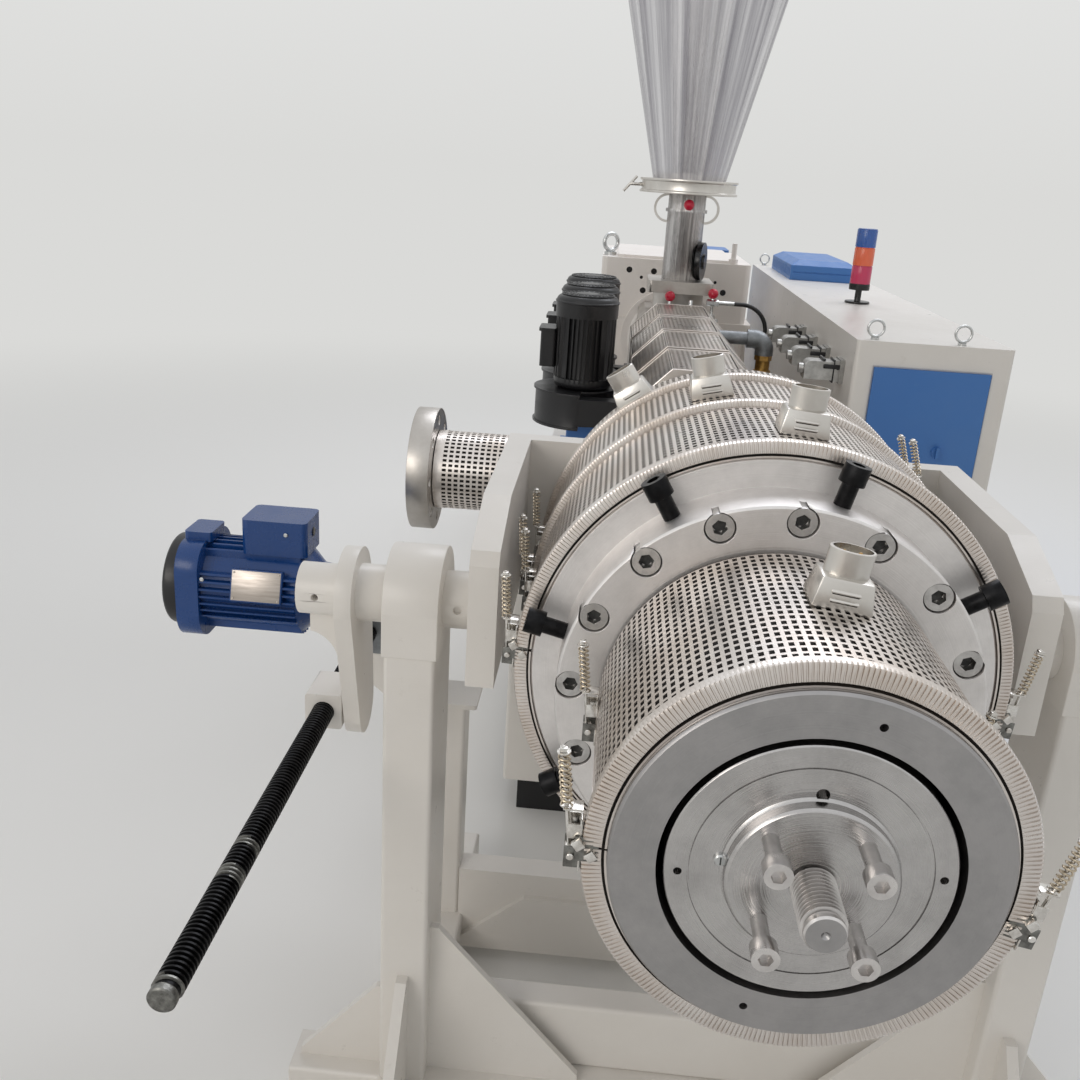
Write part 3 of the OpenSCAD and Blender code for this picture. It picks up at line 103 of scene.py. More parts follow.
def blank(name):
    """A new material, its empty node tree, its output node and its Object coordinates."""
    material = bpy.data.materials.new(name)
    material.use_nodes = True
    tree = material.node_tree
    tree.nodes.clear()
    out = tree.nodes.new("ShaderNodeOutputMaterial")
    return material, tree, out, add(tree, "ShaderNodeTexCoord").outputs["Object"]


print("mid grey in linear light", [round(v, 4) for v in linear("#808080")])

# %% [markdown]
# ## Enamel paint
# The trolley, bed, cabinet and motors are steel sprayed with two-pack enamel. Sprayed paint dries with a
# fine ripple, called orange peel, about 3 mm across, and it gathers faint dust and grey scuffs. The paint
# is a dielectric, so it is not metallic. The ripple is a bump, and two noises vary its colour and gloss.
# The gearbox is a grey iron casting, and the grains of its sand mould show through the paint as a coarser
# and deeper ripple.

# %% Enamel
orange_peel = {"Scale": 330.0, "Detail": 2.0}
sand_grain = {"Scale": 160.0, "Detail": 4.0, "Roughness": 0.7}


def enamel(name, paint, scuff, gloss=0.32, skin=orange_peel, depth=0.0006):
    """Sprayed enamel: an even colour with a rippled skin, dust and scuffs."""
    material, tree, out, spot = blank(name)
    cloud = add(tree, "ShaderNodeTexNoise", {"Vector": spot, "Scale": 2.6, "Detail": 6.0, "Roughness": 0.62})
    marks = add(tree, "ShaderNodeTexNoise", {"Vector": spot, "Scale": 19.0, "Detail": 8.0, "Roughness": 0.7})
    dust = add(tree, "ShaderNodeMapRange", {"Value": cloud.outputs["Fac"], "From Min": 0.42, "From Max": 0.72,
                                            "To Max": 0.30})
    worn = add(tree, "ShaderNodeMapRange", {"Value": marks.outputs["Fac"], "From Min": 0.62, "From Max": 0.8,
                                            "To Max": 0.45})
    dirt = add(tree, "ShaderNodeMath", {0: dust.outputs["Result"], 1: worn.outputs["Result"]},
               operation="MAXIMUM")
    colour = add(tree, "ShaderNodeMix", {"Factor": dirt.outputs["Value"], "A": linear(paint),
                                         "B": linear(scuff)}, data_type="RGBA")
    rough = add(tree, "ShaderNodeMapRange", {"Value": marks.outputs["Fac"], "From Min": 0.3, "From Max": 0.75,
                                             "To Min": gloss - 0.06, "To Max": gloss + 0.12})
    ripple = add(tree, "ShaderNodeTexNoise", {"Vector": spot, **skin})
    bump = add(tree, "ShaderNodeBump", {"Height": ripple.outputs["Fac"], "Strength": 0.25, "Distance": depth})
    shader = add(tree, "ShaderNodeBsdfPrincipled", {
        "Base Color": colour.outputs["Result"], "Roughness": rough.outputs["Result"],
        "Normal": bump.outputs["Normal"], "IOR": 1.5})
    tree.links.new(shader.outputs["BSDF"], out.inputs["Surface"])
    return material


cream_enamel = enamel("cream_enamel", "#E4E0DA", "#CCC6BD")
blue_enamel = enamel("blue_enamel", "#3E74B8", "#5A84B8", gloss=0.38)
motor_enamel = enamel("blue_motor_enamel", "#123F7C", "#1D4680", gloss=0.26)
black_enamel = enamel("black_enamel", "#161618", "#2A2A2E", gloss=0.34)
yellow_enamel = enamel("yellow_enamel", "#D9A61E", "#B58D2C")
cast_enamel = enamel("painted_casting", "#F0EAE4", "#D8CFC6", gloss=0.42, skin=sand_grain, depth=0.0025)
print("painted finishes:", [m.name for m in bpy.data.materials])

# %% [markdown]
# ## Bare metals
# Stainless sheet, ground flanges and plated screws are bare metal, so metallic is 1 and the IOR stays at its
# default. What tells them apart is roughness and the marks that making left: blotches of heat tint on heater
# covers, streaks along a rolled sheet, and handling stains on a ground flange. `metal_skin` ends every bare
# metal here: a noise mixes two tints, another varies the gloss, and a third dents the surface.

# %% Bare metal
def metal_skin(material, out, tints, stain, gloss, dent, more):
    """Bare metal from noises: a stain and its limits, a gloss, its limits and range, a dent and its depth."""
    tree = material.node_tree
    share = add(tree, "ShaderNodeMapRange", {"Value": stain[0], "From Min": stain[1], "From Max": stain[2]})
    colour = add(tree, "ShaderNodeMix", {"Factor": share.outputs["Result"], "A": linear(tints[0]),
                                         "B": linear(tints[1])}, data_type="RGBA")
    rough = add(tree, "ShaderNodeMapRange", {"Value": gloss[0], "From Min": gloss[1], "From Max": gloss[2],
                                             "To Min": gloss[3], "To Max": gloss[4]})
    bump = add(tree, "ShaderNodeBump", {"Height": dent[0], "Strength": dent[1], "Distance": dent[2]})
    shader = add(tree, "ShaderNodeBsdfPrincipled", {
        "Base Color": colour.outputs["Result"], "Metallic": 1.0, "Roughness": rough.outputs["Result"],
        "Normal": bump.outputs["Normal"], **more})
    tree.links.new(shader.outputs["BSDF"], out.inputs["Surface"])
    return material


def bare_metal(name, light, dark, roughness, spread=0.08, streak=(1, 1, 1), scale=14.0, depth=0.0002):
    """Bare metal whose colour and gloss vary between two tones, stretched along the rolling direction."""
    material, tree, out, spot = blank(name)
    rolled = add(tree, "ShaderNodeMapping", {"Vector": spot, "Scale": streak}).outputs["Vector"]
    tone = add(tree, "ShaderNodeTexNoise", {"Vector": rolled, "Scale": scale, "Detail": 8.0,
                                            "Roughness": 0.65}).outputs["Fac"]
    fine = add(tree, "ShaderNodeTexNoise", {"Vector": rolled, "Scale": scale * 22, "Detail": 3.0})
    return metal_skin(material, out, (light, dark), (tone, 0.36, 0.66),
                      (tone, 0.3, 0.7, roughness - spread, roughness + spread),
                      (fine.outputs["Fac"], 0.35, depth), {})


cover_stainless = bare_metal("heater_cover_stainless", "#E0DBD7", "#CBC1B8", 0.32, scale=7.0)
bright_stainless = bare_metal("bright_stainless", "#D8D5D0", "#C6C2BC", 0.30, spread=0.05, scale=9.0,
                              depth=0.00006)
ground_flange = bare_metal("ground_flange_steel", "#BFBBB6", "#A6A19B", 0.38, scale=6.0)
zinc_plate = bare_metal("zinc_plated_steel", "#CFD0CF", "#BCBEBE", 0.27, spread=0.04, scale=25.0,
                        depth=0.00004)
screw_zinc = bare_metal("zinc_plated_screw", "#D8D5D3", "#C2BFBD", 0.30, spread=0.04, scale=40.0,
                        depth=0.00004)
chrome_wire = bare_metal("chrome_wire", "#E2E0DC", "#B7B2AB", 0.14, spread=0.04, scale=80.0)
dull_zinc = bare_metal("dull_zinc_plate", "#C6C4C2", "#ADABA9", 0.36, scale=60.0)
dull_metal = bare_metal("grey_cast_metal", "#8D9092", "#74777A", 0.46, scale=30.0)
spring_steel = bare_metal("zinc_spring_wire", "#CDBFA8", "#9F9482", 0.28, scale=120.0)
brass = bare_metal("brass", "#B99252", "#8C6B3C", 0.32, scale=40.0)
# dark plates that paint the shade at the bottom of screw sockets and in a screw's slot
painted_recess_shade = bare_metal("painted_recess_shade_metal", "#565655", "#3E3E3E", 0.55, scale=90.0)
brushed_plate = bare_metal("brushed_aluminium_plate", "#B7AFA8", "#A09890", 0.36, streak=(0.4, 6.0, 6.0),
                           scale=30.0, depth=0.00005)
black_oxide = bare_metal("black_oxide_steel", "#1B1B1C", "#2A2A2B", 0.38, scale=50.0)
worn_oxide = bare_metal("worn_thread_steel", "#8A8A86", "#5C5B58", 0.45, scale=90.0)
hood_casting = bare_metal("die_cast_plug_hood", "#B9B8B5", "#9C9B98", 0.40, scale=40.0)
print("finishes so far:", len(bpy.data.materials))

# %% [markdown]
# ## Rolled hopper sheet
# The hopper is mirror-bright stainless, folded from one sheet. Tall upright streaks of painted reflection,
# light and dark, run through its colour, and its gloss and a faint dent vary along the same streaks, as the
# strokes of the polishing belt do. The streaks follow the angle round the hopper's axis, which keeps them
# upright on the cone too. The feed pipe gets the same painted streaks. The wide streaks are about 90 mm
# across, the fine ones about 12 mm.

# %% Streaked sheet
hopper_y = 1.75


def painted_streak_sheet(name, bright, dull):
    """Polished sheet with painted reflections as upright streaks that follow the angle round the hopper's
    axis.
    """
    material, tree, out, spot = blank(name)
    centred = add(tree, "ShaderNodeMapping", {"Vector": spot, "Location": (0, -hopper_y, 0)})
    parts = add(tree, "ShaderNodeSeparateXYZ", {"Vector": centred.outputs["Vector"]})
    angle = add(tree, "ShaderNodeMath", {0: parts.outputs["Y"], 1: parts.outputs["X"]}, operation="ARCTAN2")
    rise = add(tree, "ShaderNodeMath", {0: parts.outputs["Z"], 1: 0.06}, operation="MULTIPLY")
    roll = add(tree, "ShaderNodeCombineXYZ", {"X": angle.outputs["Value"], "Y": rise.outputs["Value"]})
    wide = add(tree, "ShaderNodeTexNoise", {"Vector": roll.outputs["Vector"], "Scale": 5.0, "Detail": 7.0,
                                            "Roughness": 0.72}).outputs["Fac"]
    # the two tints paint light and dark reflection streaks; gloss and dent follow the same noise
    return metal_skin(material, out, (bright, dull), (wide, 0.38, 0.62), (wide, 0.35, 0.65, 0.12, 0.30),
                      (wide, 0.5, 0.012), {})


hopper_stainless = painted_streak_sheet("folded_hopper_stainless", "#E6E5E8", "#A19FA5")
pipe_stainless = painted_streak_sheet("rolled_pipe_stainless", "#D9D7D6", "#8F8C8B")
print("sheets:", hopper_stainless.name, pipe_stainless.name)

# %% [markdown]
# ## Turned steel with a centre
# The mandrel, the bush and the flanges are turned on a lathe, so each face carries fine circular lines
# about the machine's axis. The lines are a one-dimensional noise read by the distance from that axis. The
# same circles pull each reflection into a bright fan, which an anisotropic shader gives when its tangent
# runs round the axis. Real lines are about 0.2 mm apart. Here they are 2 mm apart, because finer ones would
# not show.

# %% Turned steel
axis_height = 1.05


def turned_steel(name, light, dark, roughness, fan=0.55):
    """Lathe-turned steel with circular lines about the die axis."""
    material, tree, out, spot = blank(name)
    centred = add(tree, "ShaderNodeMapping", {"Vector": spot, "Location": (0, 0, -axis_height)})
    flat = add(tree, "ShaderNodeVectorMath", {0: centred.outputs["Vector"], 1: (1, 0, 1)},
               operation="MULTIPLY")
    reach = add(tree, "ShaderNodeVectorMath", {0: flat.outputs["Vector"]}, operation="LENGTH")
    lines = add(tree, "ShaderNodeTexNoise", {"W": reach.outputs["Value"], "Scale": 520.0, "Detail": 2.0},
                noise_dimensions="1D").outputs["Fac"]
    stain = add(tree, "ShaderNodeTexNoise", {"Vector": spot, "Scale": 16.0, "Detail": 8.0, "Roughness": 0.72})
    around = add(tree, "ShaderNodeVectorMath", {0: flat.outputs["Vector"], 1: (0, 1, 0)},
                 operation="CROSS_PRODUCT")
    return metal_skin(material, out, (light, dark), (stain.outputs["Fac"], 0.40, 0.68),
                      (lines, 0.3, 0.7, roughness - 0.05, roughness + 0.07), (lines, 0.4, 0.0004),
                      {"Anisotropic": fan, "Tangent": around.outputs["Vector"]})


face_steel = turned_steel("turned_face_steel", "#A5A3A3", "#989797", 0.34)
mandrel_steel = turned_steel("turned_mandrel_steel", "#BCBAB9", "#AAA8A7", 0.24)
ring_steel = turned_steel("turned_ring_steel", "#DFDCDA", "#D1CECC", 0.46, fan=0.3)
print("turned steels:", face_steel.name, mandrel_steel.name, ring_steel.name)

# %% [markdown]
# ## Plastics, rubber and glass-like lenses
# Knobs are phenolic resin, hoses are nitrile rubber, plug inserts are ceramic, and the lamp lenses are
# acrylic. Each is one dielectric shader with a faint noise in its gloss. A lens lets light in a little, so
# it glows in depth.

# %% Moulded finishes
def moulded(name, colour, roughness, subsurface=0.0, grain=240.0):
    """Moulded plastic, resin or rubber with a fine skin."""
    material, tree, out, spot = blank(name)
    skin = add(tree, "ShaderNodeTexNoise", {"Vector": spot, "Scale": grain, "Detail": 3.0}).outputs["Fac"]
    rough = add(tree, "ShaderNodeMapRange", {"Value": skin, "From Min": 0.3, "From Max": 0.7,
                                             "To Min": roughness - 0.04, "To Max": roughness + 0.08})
    darker = tuple(0.8 * c for c in linear(colour)[:3]) + (1.0,)
    shade = add(tree, "ShaderNodeMix", {"Factor": skin, "A": linear(colour), "B": darker}, data_type="RGBA")
    bump = add(tree, "ShaderNodeBump", {"Height": skin, "Strength": 0.2, "Distance": 0.0002})
    shader = add(tree, "ShaderNodeBsdfPrincipled", {
        "Base Color": shade.outputs["Result"], "Roughness": rough.outputs["Result"],
        "Normal": bump.outputs["Normal"], "IOR": 1.5, "Subsurface Weight": subsurface,
        "Subsurface Scale": 0.02})
    tree.links.new(shader.outputs["BSDF"], out.inputs["Surface"])
    return material


red_resin = moulded("red_phenolic_resin", "#D0163A", 0.18)
black_rubber = moulded("black_nitrile_rubber", "#151516", 0.42)
black_resin = moulded("black_phenolic_resin", "#101012", 0.25)
ceramic = moulded("ceramic_insulator", "#D8D2C4", 0.5)
# a dark core and backing set behind holes and louvres; its darkness paints the shade in them
painted_opening_shade = moulded("painted_shade_core", "#2B2622", 0.8, grain=90.0)
print("finishes so far:", len(bpy.data.materials))

# %% [markdown]
# The signal tower stacks three acrylic lenses: red, amber and blue. They are one solid, so the colour
# follows the height above the floor. Inside a lens the flutes of its prism show as fine upright lines,
# about 4 mm apart, which are drawn as a wave round the tower's own axis.

# %% Lens stack
lens_low = 1.385
lens_step = 0.0663
tower_x, tower_y = 0.664, 1.54
flute_count = 56.0

lens_stack = moulded("acrylic_lens_stack", "#D0335E", 0.16, subsurface=0.15)
tree = lens_stack.node_tree
kinds = {node.type: node for node in tree.nodes}
centred = add(tree, "ShaderNodeMapping", {"Vector": kinds["TEX_COORD"].outputs["Object"],
                                          "Location": (-tower_x, -tower_y, 0)})
parts = add(tree, "ShaderNodeSeparateXYZ", {"Vector": centred.outputs["Vector"]})
colour = linear("#CC4066")
for step, tint in ((1, "#EC7350"), (2, "#3F66B0")):
    above = add(tree, "ShaderNodeMath", {0: parts.outputs["Z"], 1: lens_low + step * lens_step},
                operation="GREATER_THAN")
    colour = add(tree, "ShaderNodeMix", {"Factor": above.outputs["Value"], "A": colour, "B": linear(tint)},
                 data_type="RGBA").outputs["Result"]
tree.links.new(colour, kinds["BSDF_PRINCIPLED"].inputs["Base Color"])
angle = add(tree, "ShaderNodeMath", {0: parts.outputs["Y"], 1: parts.outputs["X"]}, operation="ARCTAN2")
wave = add(tree, "ShaderNodeMath", {0: angle.outputs["Value"], 1: flute_count}, operation="MULTIPLY")
flutes = add(tree, "ShaderNodeMath", {0: wave.outputs["Value"]}, operation="SINE")
tree.links.new(flutes.outputs["Value"], kinds["BUMP"].inputs["Height"])
print("lens stack:", lens_stack.name)

# %% [markdown]
# ## Finishes for the CAD solids
# Each CAD node gets the finish of the real piece. Real plates and castings have small rounds on their
# edges, and those thin bright lines tell the eye how big a part is. A Weld modifier joins the loose
# triangles, and a Bevel modifier rounds every edge sharper than 35 degrees. Both work on top of the CAD
# mesh and leave it unchanged.

# %% Finish every CAD node
# each finish, its nodes and the round of their edges in mm
finishes = [
    (cream_enamel, {"trolley_base": 2.0, "trolley_posts": 3.0, "bearing_blocks": 2.0, "tilt_shafts": 1.5,
                    "yoke": 2.5, "lever_arm": 2.5, "jack_nut": 3.0, "jack_bracket": 1.5, "barrel_stands": 2.0,
                    "bed": 3.0, "cabinet": 2.0}),
    (blue_enamel, {"blower_stands": 1.5, "main_motor": 0.8, "motor_feet": 2.0, "front_panel": 1.5,
                   "side_doors": 1.5, "roof_hood": 1.5}),
    (black_enamel, {"jack_fan_cover": 3.0, "blower_housings": 1.5, "blower_motors": 1.5, "plinth": 2.0}),
    (motor_enamel, {"jack_motor": 0.8}), (yellow_enamel, {"coupling_guard": 2.0}),
    (cast_enamel, {"gearbox": 8.0}), (face_steel, {"die_bush": 0.8}), (mandrel_steel, {"mandrel": 0.8}),
    (ring_steel, {"die_body": 1.0, "retaining_ring": 0.8}),
    (ground_flange, {"die_adapter": 1.5, "inlet_flange": 1.5, "barrel": 1.5, "feed_block": 3.0}),
    (cover_stainless, {"body_bands": 0.0, "bush_band": 0.0, "heater_plugs": 0.8, "zone_covers": 1.5}),
    (painted_opening_shade, {"inlet_tube": 0.8}), (bright_stainless, {"slide_gate": 1.0, "clamp_arms": 0.8}),
    (hopper_stainless, {"hopper_cone": 0.0, "hopper_drum": 0.0, "hopper_lid": 1.0}),
    (pipe_stainless, {"feed_pipe": 0.5}), (dull_zinc, {"ring_screws": 0.8}),
    (zinc_plate, {"draw_stud": 0.8, "feed_valves": 0.6, "lifting_eye": 0.0, "cabinet_eyes": 0.0}),
    (screw_zinc, {"mandrel_screws": 0.8}), (black_oxide, {"jack_screw": 0.8, "centring_screws": 0.8}),
    (dull_metal, {"jack_gearbox": 4.0, "vent_pipe": 0.0}), (hood_casting, {"heater_sockets": 2.0}),
    (brass, {"vent_valve": 1.0}), (red_resin, {"valve_knobs": 0.0}), (black_rubber, {"air_hose": 0.0}),
    (black_resin, {"port_cover": 1.5, "signal_tower": 1.0}), (lens_stack, {"tower_lamps": 1.0})]
dressed = {name: (material, edge) for material, nodes in finishes for name, edge in nodes.items()}
for name, (material, edge) in dressed.items():
    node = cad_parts[name]
    for slot in node.material_slots:
        slot.material = material
    if edge:
        weld = node.modifiers.new("join", "WELD")
        weld.merge_threshold = 0.00005
        bevel = node.modifiers.new("edges", "BEVEL")
        bevel.width = edge / 1000
        bevel.segments = 2
        bevel.limit_method = "ANGLE"
        bevel.angle_limit = math.radians(35)
        bevel.harden_normals = False
print("CAD nodes with a finish:", len(dressed), "without:", [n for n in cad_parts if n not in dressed])

# %% [markdown]
# ## Making pieces
# Most pieces are built the way a workshop builds them: a profile is drawn and turned, a strip is cut and
# rolled, a wire is wound. `place` is a matrix whose Z axis is the piece's own axis. The piece is made on
# the origin, moved by that matrix, and its object stays at the origin, as a CAD node's does. `oblong` and
# `circle` are sections to turn or to wind, `put` adds one rounded block at a spot, and `copies` repeats a
# shape round its axis.

# %% Helpers for pieces
def place(spot, toward=(0, -1, 0), up=(0, 0, 1)):
    """A matrix that puts a local Z axis along `toward` at `spot`, with local Y near `up`."""
    z = Vector(toward).normalized()
    x = Vector(up).cross(z)
    x = x.normalized() if x.length > 1e-6 else Vector((1, 0, 0))
    y = z.cross(x)
    turn = Matrix((x, y, z)).transposed().to_4x4()
    return Matrix.Translation(Vector(spot)) @ turn


def join(bm, part, matrix=None, finish=None):
    """Adds one bmesh to another, moved by a matrix, and may set the number of the finish of its faces."""
    if matrix is not None:
        bmesh.ops.transform(part, matrix=matrix, verts=part.verts)
    if finish is not None:
        for face in part.faces:
            face.material_index = finish
    scrap = bpy.data.meshes.new("scrap")
    part.to_mesh(scrap)
    part.free()
    bm.from_mesh(scrap)
    bpy.data.meshes.remove(scrap)
    return bm


def piece(name, bm, metals, replaced=(), crease=32):
    """Makes the object: smooth faces, sharp edges above an angle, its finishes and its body."""
    for face in bm.faces:
        face.smooth = True
    for edge in bm.edges:
        edge.smooth = edge.is_manifold and edge.calc_face_angle(0) < math.radians(crease)
    mesh = bpy.data.meshes.new(name)
    bm.to_mesh(mesh)
    bm.free()
    for metal in metals:
        mesh.materials.append(metal)
    made = bpy.data.objects.new(name, mesh)
    bpy.context.collection.objects.link(made)
    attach(made, "root")
    if replaced:
        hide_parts(*replaced)
    print(name, len(mesh.polygons), "faces")


def oblong(inner, outer, low, high):
    """A rectangular section of (radius, height) points."""
    return [(inner, low), (outer, low), (outer, high), (inner, high)]


def circle(middle, radius, sides):
    """A round section of (radius, height) points."""
    turns = [math.tau * i / sides for i in range(sides)]
    return [(middle + radius * math.cos(a), radius * math.sin(a)) for a in turns]


def turned(profile, steps=96, closed=False):
    """Spins a profile of (radius, height) points about local Z."""
    bm = bmesh.new()
    verts = [bm.verts.new((r, 0, h)) for r, h in profile]
    edges = [bm.edges.new(pair) for pair in zip(verts, verts[1:] + verts[:1] if closed else verts[1:])]
    bmesh.ops.spin(bm, geom=verts + edges, cent=(0, 0, 0), axis=(0, 0, 1), angle=math.tau, steps=steps,
                   use_merge=True)
    bmesh.ops.remove_doubles(bm, verts=bm.verts, dist=1e-6)
    bmesh.ops.recalc_face_normals(bm, faces=bm.faces)
    return bm


def sector(profile, start, turn, steps):
    """Sweeps a closed profile of (radius, height) points through part of a turn about local Z."""
    bm = bmesh.new()
    face = bm.faces.new([bm.verts.new((r, 0, h)) for r, h in profile])
    bmesh.ops.spin(bm, geom=face.verts[:] + face.edges[:] + [face], cent=(0, 0, 0), axis=(0, 0, 1),
                   angle=turn, steps=steps)
    bmesh.ops.rotate(bm, verts=bm.verts, cent=(0, 0, 0), matrix=Matrix.Rotation(start, 3, "Z"))
    bmesh.ops.recalc_face_normals(bm, faces=bm.faces)
    return bm


def coiled(section, turns, pitch, steps):
    """Winds a closed section of (radius, height) points about local Z into a helix, with closed ends."""
    bm = bmesh.new()
    face = bm.faces.new([bm.verts.new((r, 0, h)) for r, h in section])
    total = round(turns * steps)
    bmesh.ops.spin(bm, geom=face.verts[:] + face.edges[:] + [face], cent=(0, 0, 0), axis=(0, 0, 1),
                   angle=math.tau * total / steps, steps=total, dvec=(0, 0, pitch / steps))
    bmesh.ops.recalc_face_normals(bm, faces=bm.faces)
    return bm


def copies(bm, turn, count):
    """Repeats a shape about local Z, so that the copies fill a turn."""
    bmesh.ops.spin(bm, geom=bm.verts[:] + bm.edges[:] + bm.faces[:], cent=(0, 0, 0), axis=(0, 0, 1),
                   angle=turn - turn / count, steps=count - 1, use_duplicate=True)


def block(size, edge=0.0):
    """A box with its middle at the origin and rounded edges."""
    bm = bmesh.new()
    bmesh.ops.create_cube(bm, size=1.0, matrix=Matrix.Diagonal((*size, 1.0)))
    if edge:
        bmesh.ops.bevel(bm, geom=bm.edges, offset=edge, segments=2, profile=0.5, affect="EDGES", material=-1)
    return bm


def rod(radius, length, edge=0.0, sides=24):
    """A round bar from the origin along Z with rounded rims."""
    e = min(edge, radius * 0.9)
    profile = [(0, 0), (radius - e, 0), (radius, e), (radius, length - e), (radius - e, length), (0, length)]
    return turned(profile, sides)


def put(bm, size, edge, spot, finish=None):
    """Adds a rounded block whose middle is at a spot."""
    return join(bm, block(size, edge), Matrix.Translation(spot), finish)


print("helpers ready")

# %% [markdown]
# ## Perforated heater covers
# A band heater is wrapped in a thin sheet of stainless steel full of small holes, so that it can shed heat
# and no one touches the ceramic below. The holes are 6 mm by 9 mm on an 11 mm by 14 mm grid. One strip
# along the axis is a grid whose cells are inset and opened. The strip is copied round the axis, the copies
# are merged, and the sheet is thickened to 1 mm last, so the wall has closed edges. Real holes catch the
# light on their rims, which a picture of holes would not do.

# %% Perforated sheet
hole_pitch = 0.011
hole_step = 0.014
hole_web = 0.0025
sheet_wall = 0.001


def opened_grid(bm, width, length, columns, rows, web):
    """A flat grid about the origin whose cells are opened, with a web left round each."""
    bmesh.ops.create_grid(bm, x_segments=columns, y_segments=rows, size=0.5,
                          matrix=Matrix.Diagonal((width, length, 1, 1)))
    cells = bm.faces[:]
    bmesh.ops.inset_individual(bm, faces=cells, thickness=web, use_even_offset=True)
    bmesh.ops.delete(bm, geom=cells, context="FACES_ONLY")


def perforated_tube(radius, length, start=0.0, turn=math.tau):
    """A sheet with small holes, rolled round local Z from height 0 to `length`, through a turn or less."""
    bm = bmesh.new()
    count = round(radius * turn / hole_pitch)
    rows = max(1, round(length / hole_step))
    half = radius * math.tan(turn / count / 2)
    opened_grid(bm, 2 * half, length, 1, rows, hole_web)
    stand = Matrix(((0, 0, 1, radius), (1, 0, 0, 0), (0, 1, 0, length / 2), (0, 0, 0, 1)))
    bmesh.ops.transform(bm, matrix=stand, verts=bm.verts)
    step = turn / count
    bmesh.ops.rotate(bm, verts=bm.verts, cent=(0, 0, 0), matrix=Matrix.Rotation(start + step / 2, 3, "Z"))
    copies(bm, turn, count)
    bmesh.ops.remove_doubles(bm, verts=bm.verts, dist=0.0001)
    bmesh.ops.delete(bm, geom=[v for v in bm.verts if not v.link_faces], context="VERTS")
    bmesh.ops.recalc_face_normals(bm, faces=bm.faces)
    bmesh.ops.solidify(bm, geom=bm.faces, thickness=sheet_wall)
    return bm


sample = perforated_tube(0.1, 0.044)
print("sample sheet faces", len(sample.faces), "volume in ml",
      round(sample.calc_volume(signed=True) * 1e6, 2))
sample.free()

# %% [markdown]
# ## Crimped rims
# At the front of a cover the sheet is folded in, and the fold is crimped into ribs so that it can follow
# the circle. The shoulder behind the fold stays smooth. A rim starts as one rib: the fold's profile is
# extruded in four small turns, low, up, high and down. The rib is then copied round the axis. The ribs are
# 5.5 mm apart, as counted along the left side in the photograph.

# %% Crimped rim
rib_pitch = 0.0055
rib_depth = 0.0022


def crimped_rim(low, high, start=0.0, turn=math.tau):
    """Ribs from two profiles of (radius, height): the valley and the crest of one rib."""
    bm = bmesh.new()
    count = round(high[len(high) // 2][0] * turn / rib_pitch)
    step = turn / count
    columns = [(0.0, low), (0.26, low), (0.36, high), (0.88, high), (1.0, low)]
    verts = [bm.verts.new((r, 0, h)) for r, h in low]
    edges = [bm.edges.new(pair) for pair in zip(verts, verts[1:])]
    for share, profile in columns[1:]:
        grown = bmesh.ops.extrude_edge_only(bm, edges=edges)["geom"]
        edges = [g for g in grown if isinstance(g, bmesh.types.BMEdge)]
        new = [g for g in grown if isinstance(g, bmesh.types.BMVert)]
        order = {e.other_vert(v): v for v in new for e in v.link_edges if e.other_vert(v) in verts}
        verts = [order[v] for v in verts]
        for vert, (r, h) in zip(verts, profile):
            vert.co = (r * math.cos(step * share), r * math.sin(step * share), h)
    bmesh.ops.rotate(bm, verts=bm.verts, cent=(0, 0, 0), matrix=Matrix.Rotation(start, 3, "Z"))
    copies(bm, turn, count)
    bmesh.ops.remove_doubles(bm, verts=bm.verts, dist=0.00005)
    bmesh.ops.recalc_face_normals(bm, faces=bm.faces)
    return bm


def fold(inner, sheet, proud, width):
    """The valley and crest of a fold: in over the front, up round the shoulder, and back to the sheet."""
    crest = [(inner, 0.0), (proud - 0.005, 0.0), (proud - 0.0015, 0.0015), (proud, 0.005),
             (proud, width - 0.002), (sheet, width)]
    valley = [(inner, 0.0002), (proud - 0.005, rib_depth), (proud - 0.0015, rib_depth + 0.0008), *crest[3:]]
    return valley, crest


print("ribs on a rim of 0.3 m radius", round(0.3 * math.tau / rib_pitch))

# %% [markdown]
# ## The bands of the die head
# Four bands clasp the die: three on the body and one on the bush. Each cover is two half shells that meet
# at a seam on either side, where each stops 0.4 degrees short. A half shell is perforated sheet with a
# crimped rim at the front, a plain hem at the back, a plain margin along its seams and a thin liner ring
# that shows at the front. A dark core lies under the holes, and its darkness paints the shade seen through
# them. The bands replace the plain CAD rings, whose radii and lengths are read from the frame.

# %% Build the bands
rim_proud = 0.010
rim_width = 0.016
margin = 0.016
seam_gap = 0.4


def half_shell(front, back, bore, sheet, first, last):
    """One half of a cover between two angles, in degrees from +X towards +Z as seen from the front."""
    bm = bmesh.new()
    length = back - front
    start, turn = math.radians(first), math.radians(last - first)
    valley, crest = fold(bore + 0.006, sheet - sheet_wall, sheet + rim_proud, rim_width)
    at_back = place((0, back, axis_height), (0, -1, 0))
    at_front = place((0, front, axis_height), (0, 1, 0))
    join(bm, crimped_rim(valley, crest, math.pi - start - turn, turn), at_front)
    high = length - rim_width + 0.001
    edge = margin / sheet
    join(bm, perforated_tube(sheet, high, start + edge, turn - 2 * edge), at_back)
    strip = oblong(sheet - 0.0015, sheet + 0.0003, 0.0, high)
    for begin in (start, start + turn - edge):
        join(bm, sector(strip, begin, edge, 3), at_back)
    hem = oblong(bore + 0.003, sheet - 0.0002, 0.0, 0.0012)
    join(bm, sector(hem, start, turn, 64), at_back)
    liner = oblong(bore + 0.0003, bore + 0.0028, -0.0012, 0.010)
    join(bm, sector(liner, math.pi - start - turn, turn, 64), at_front)
    return bm


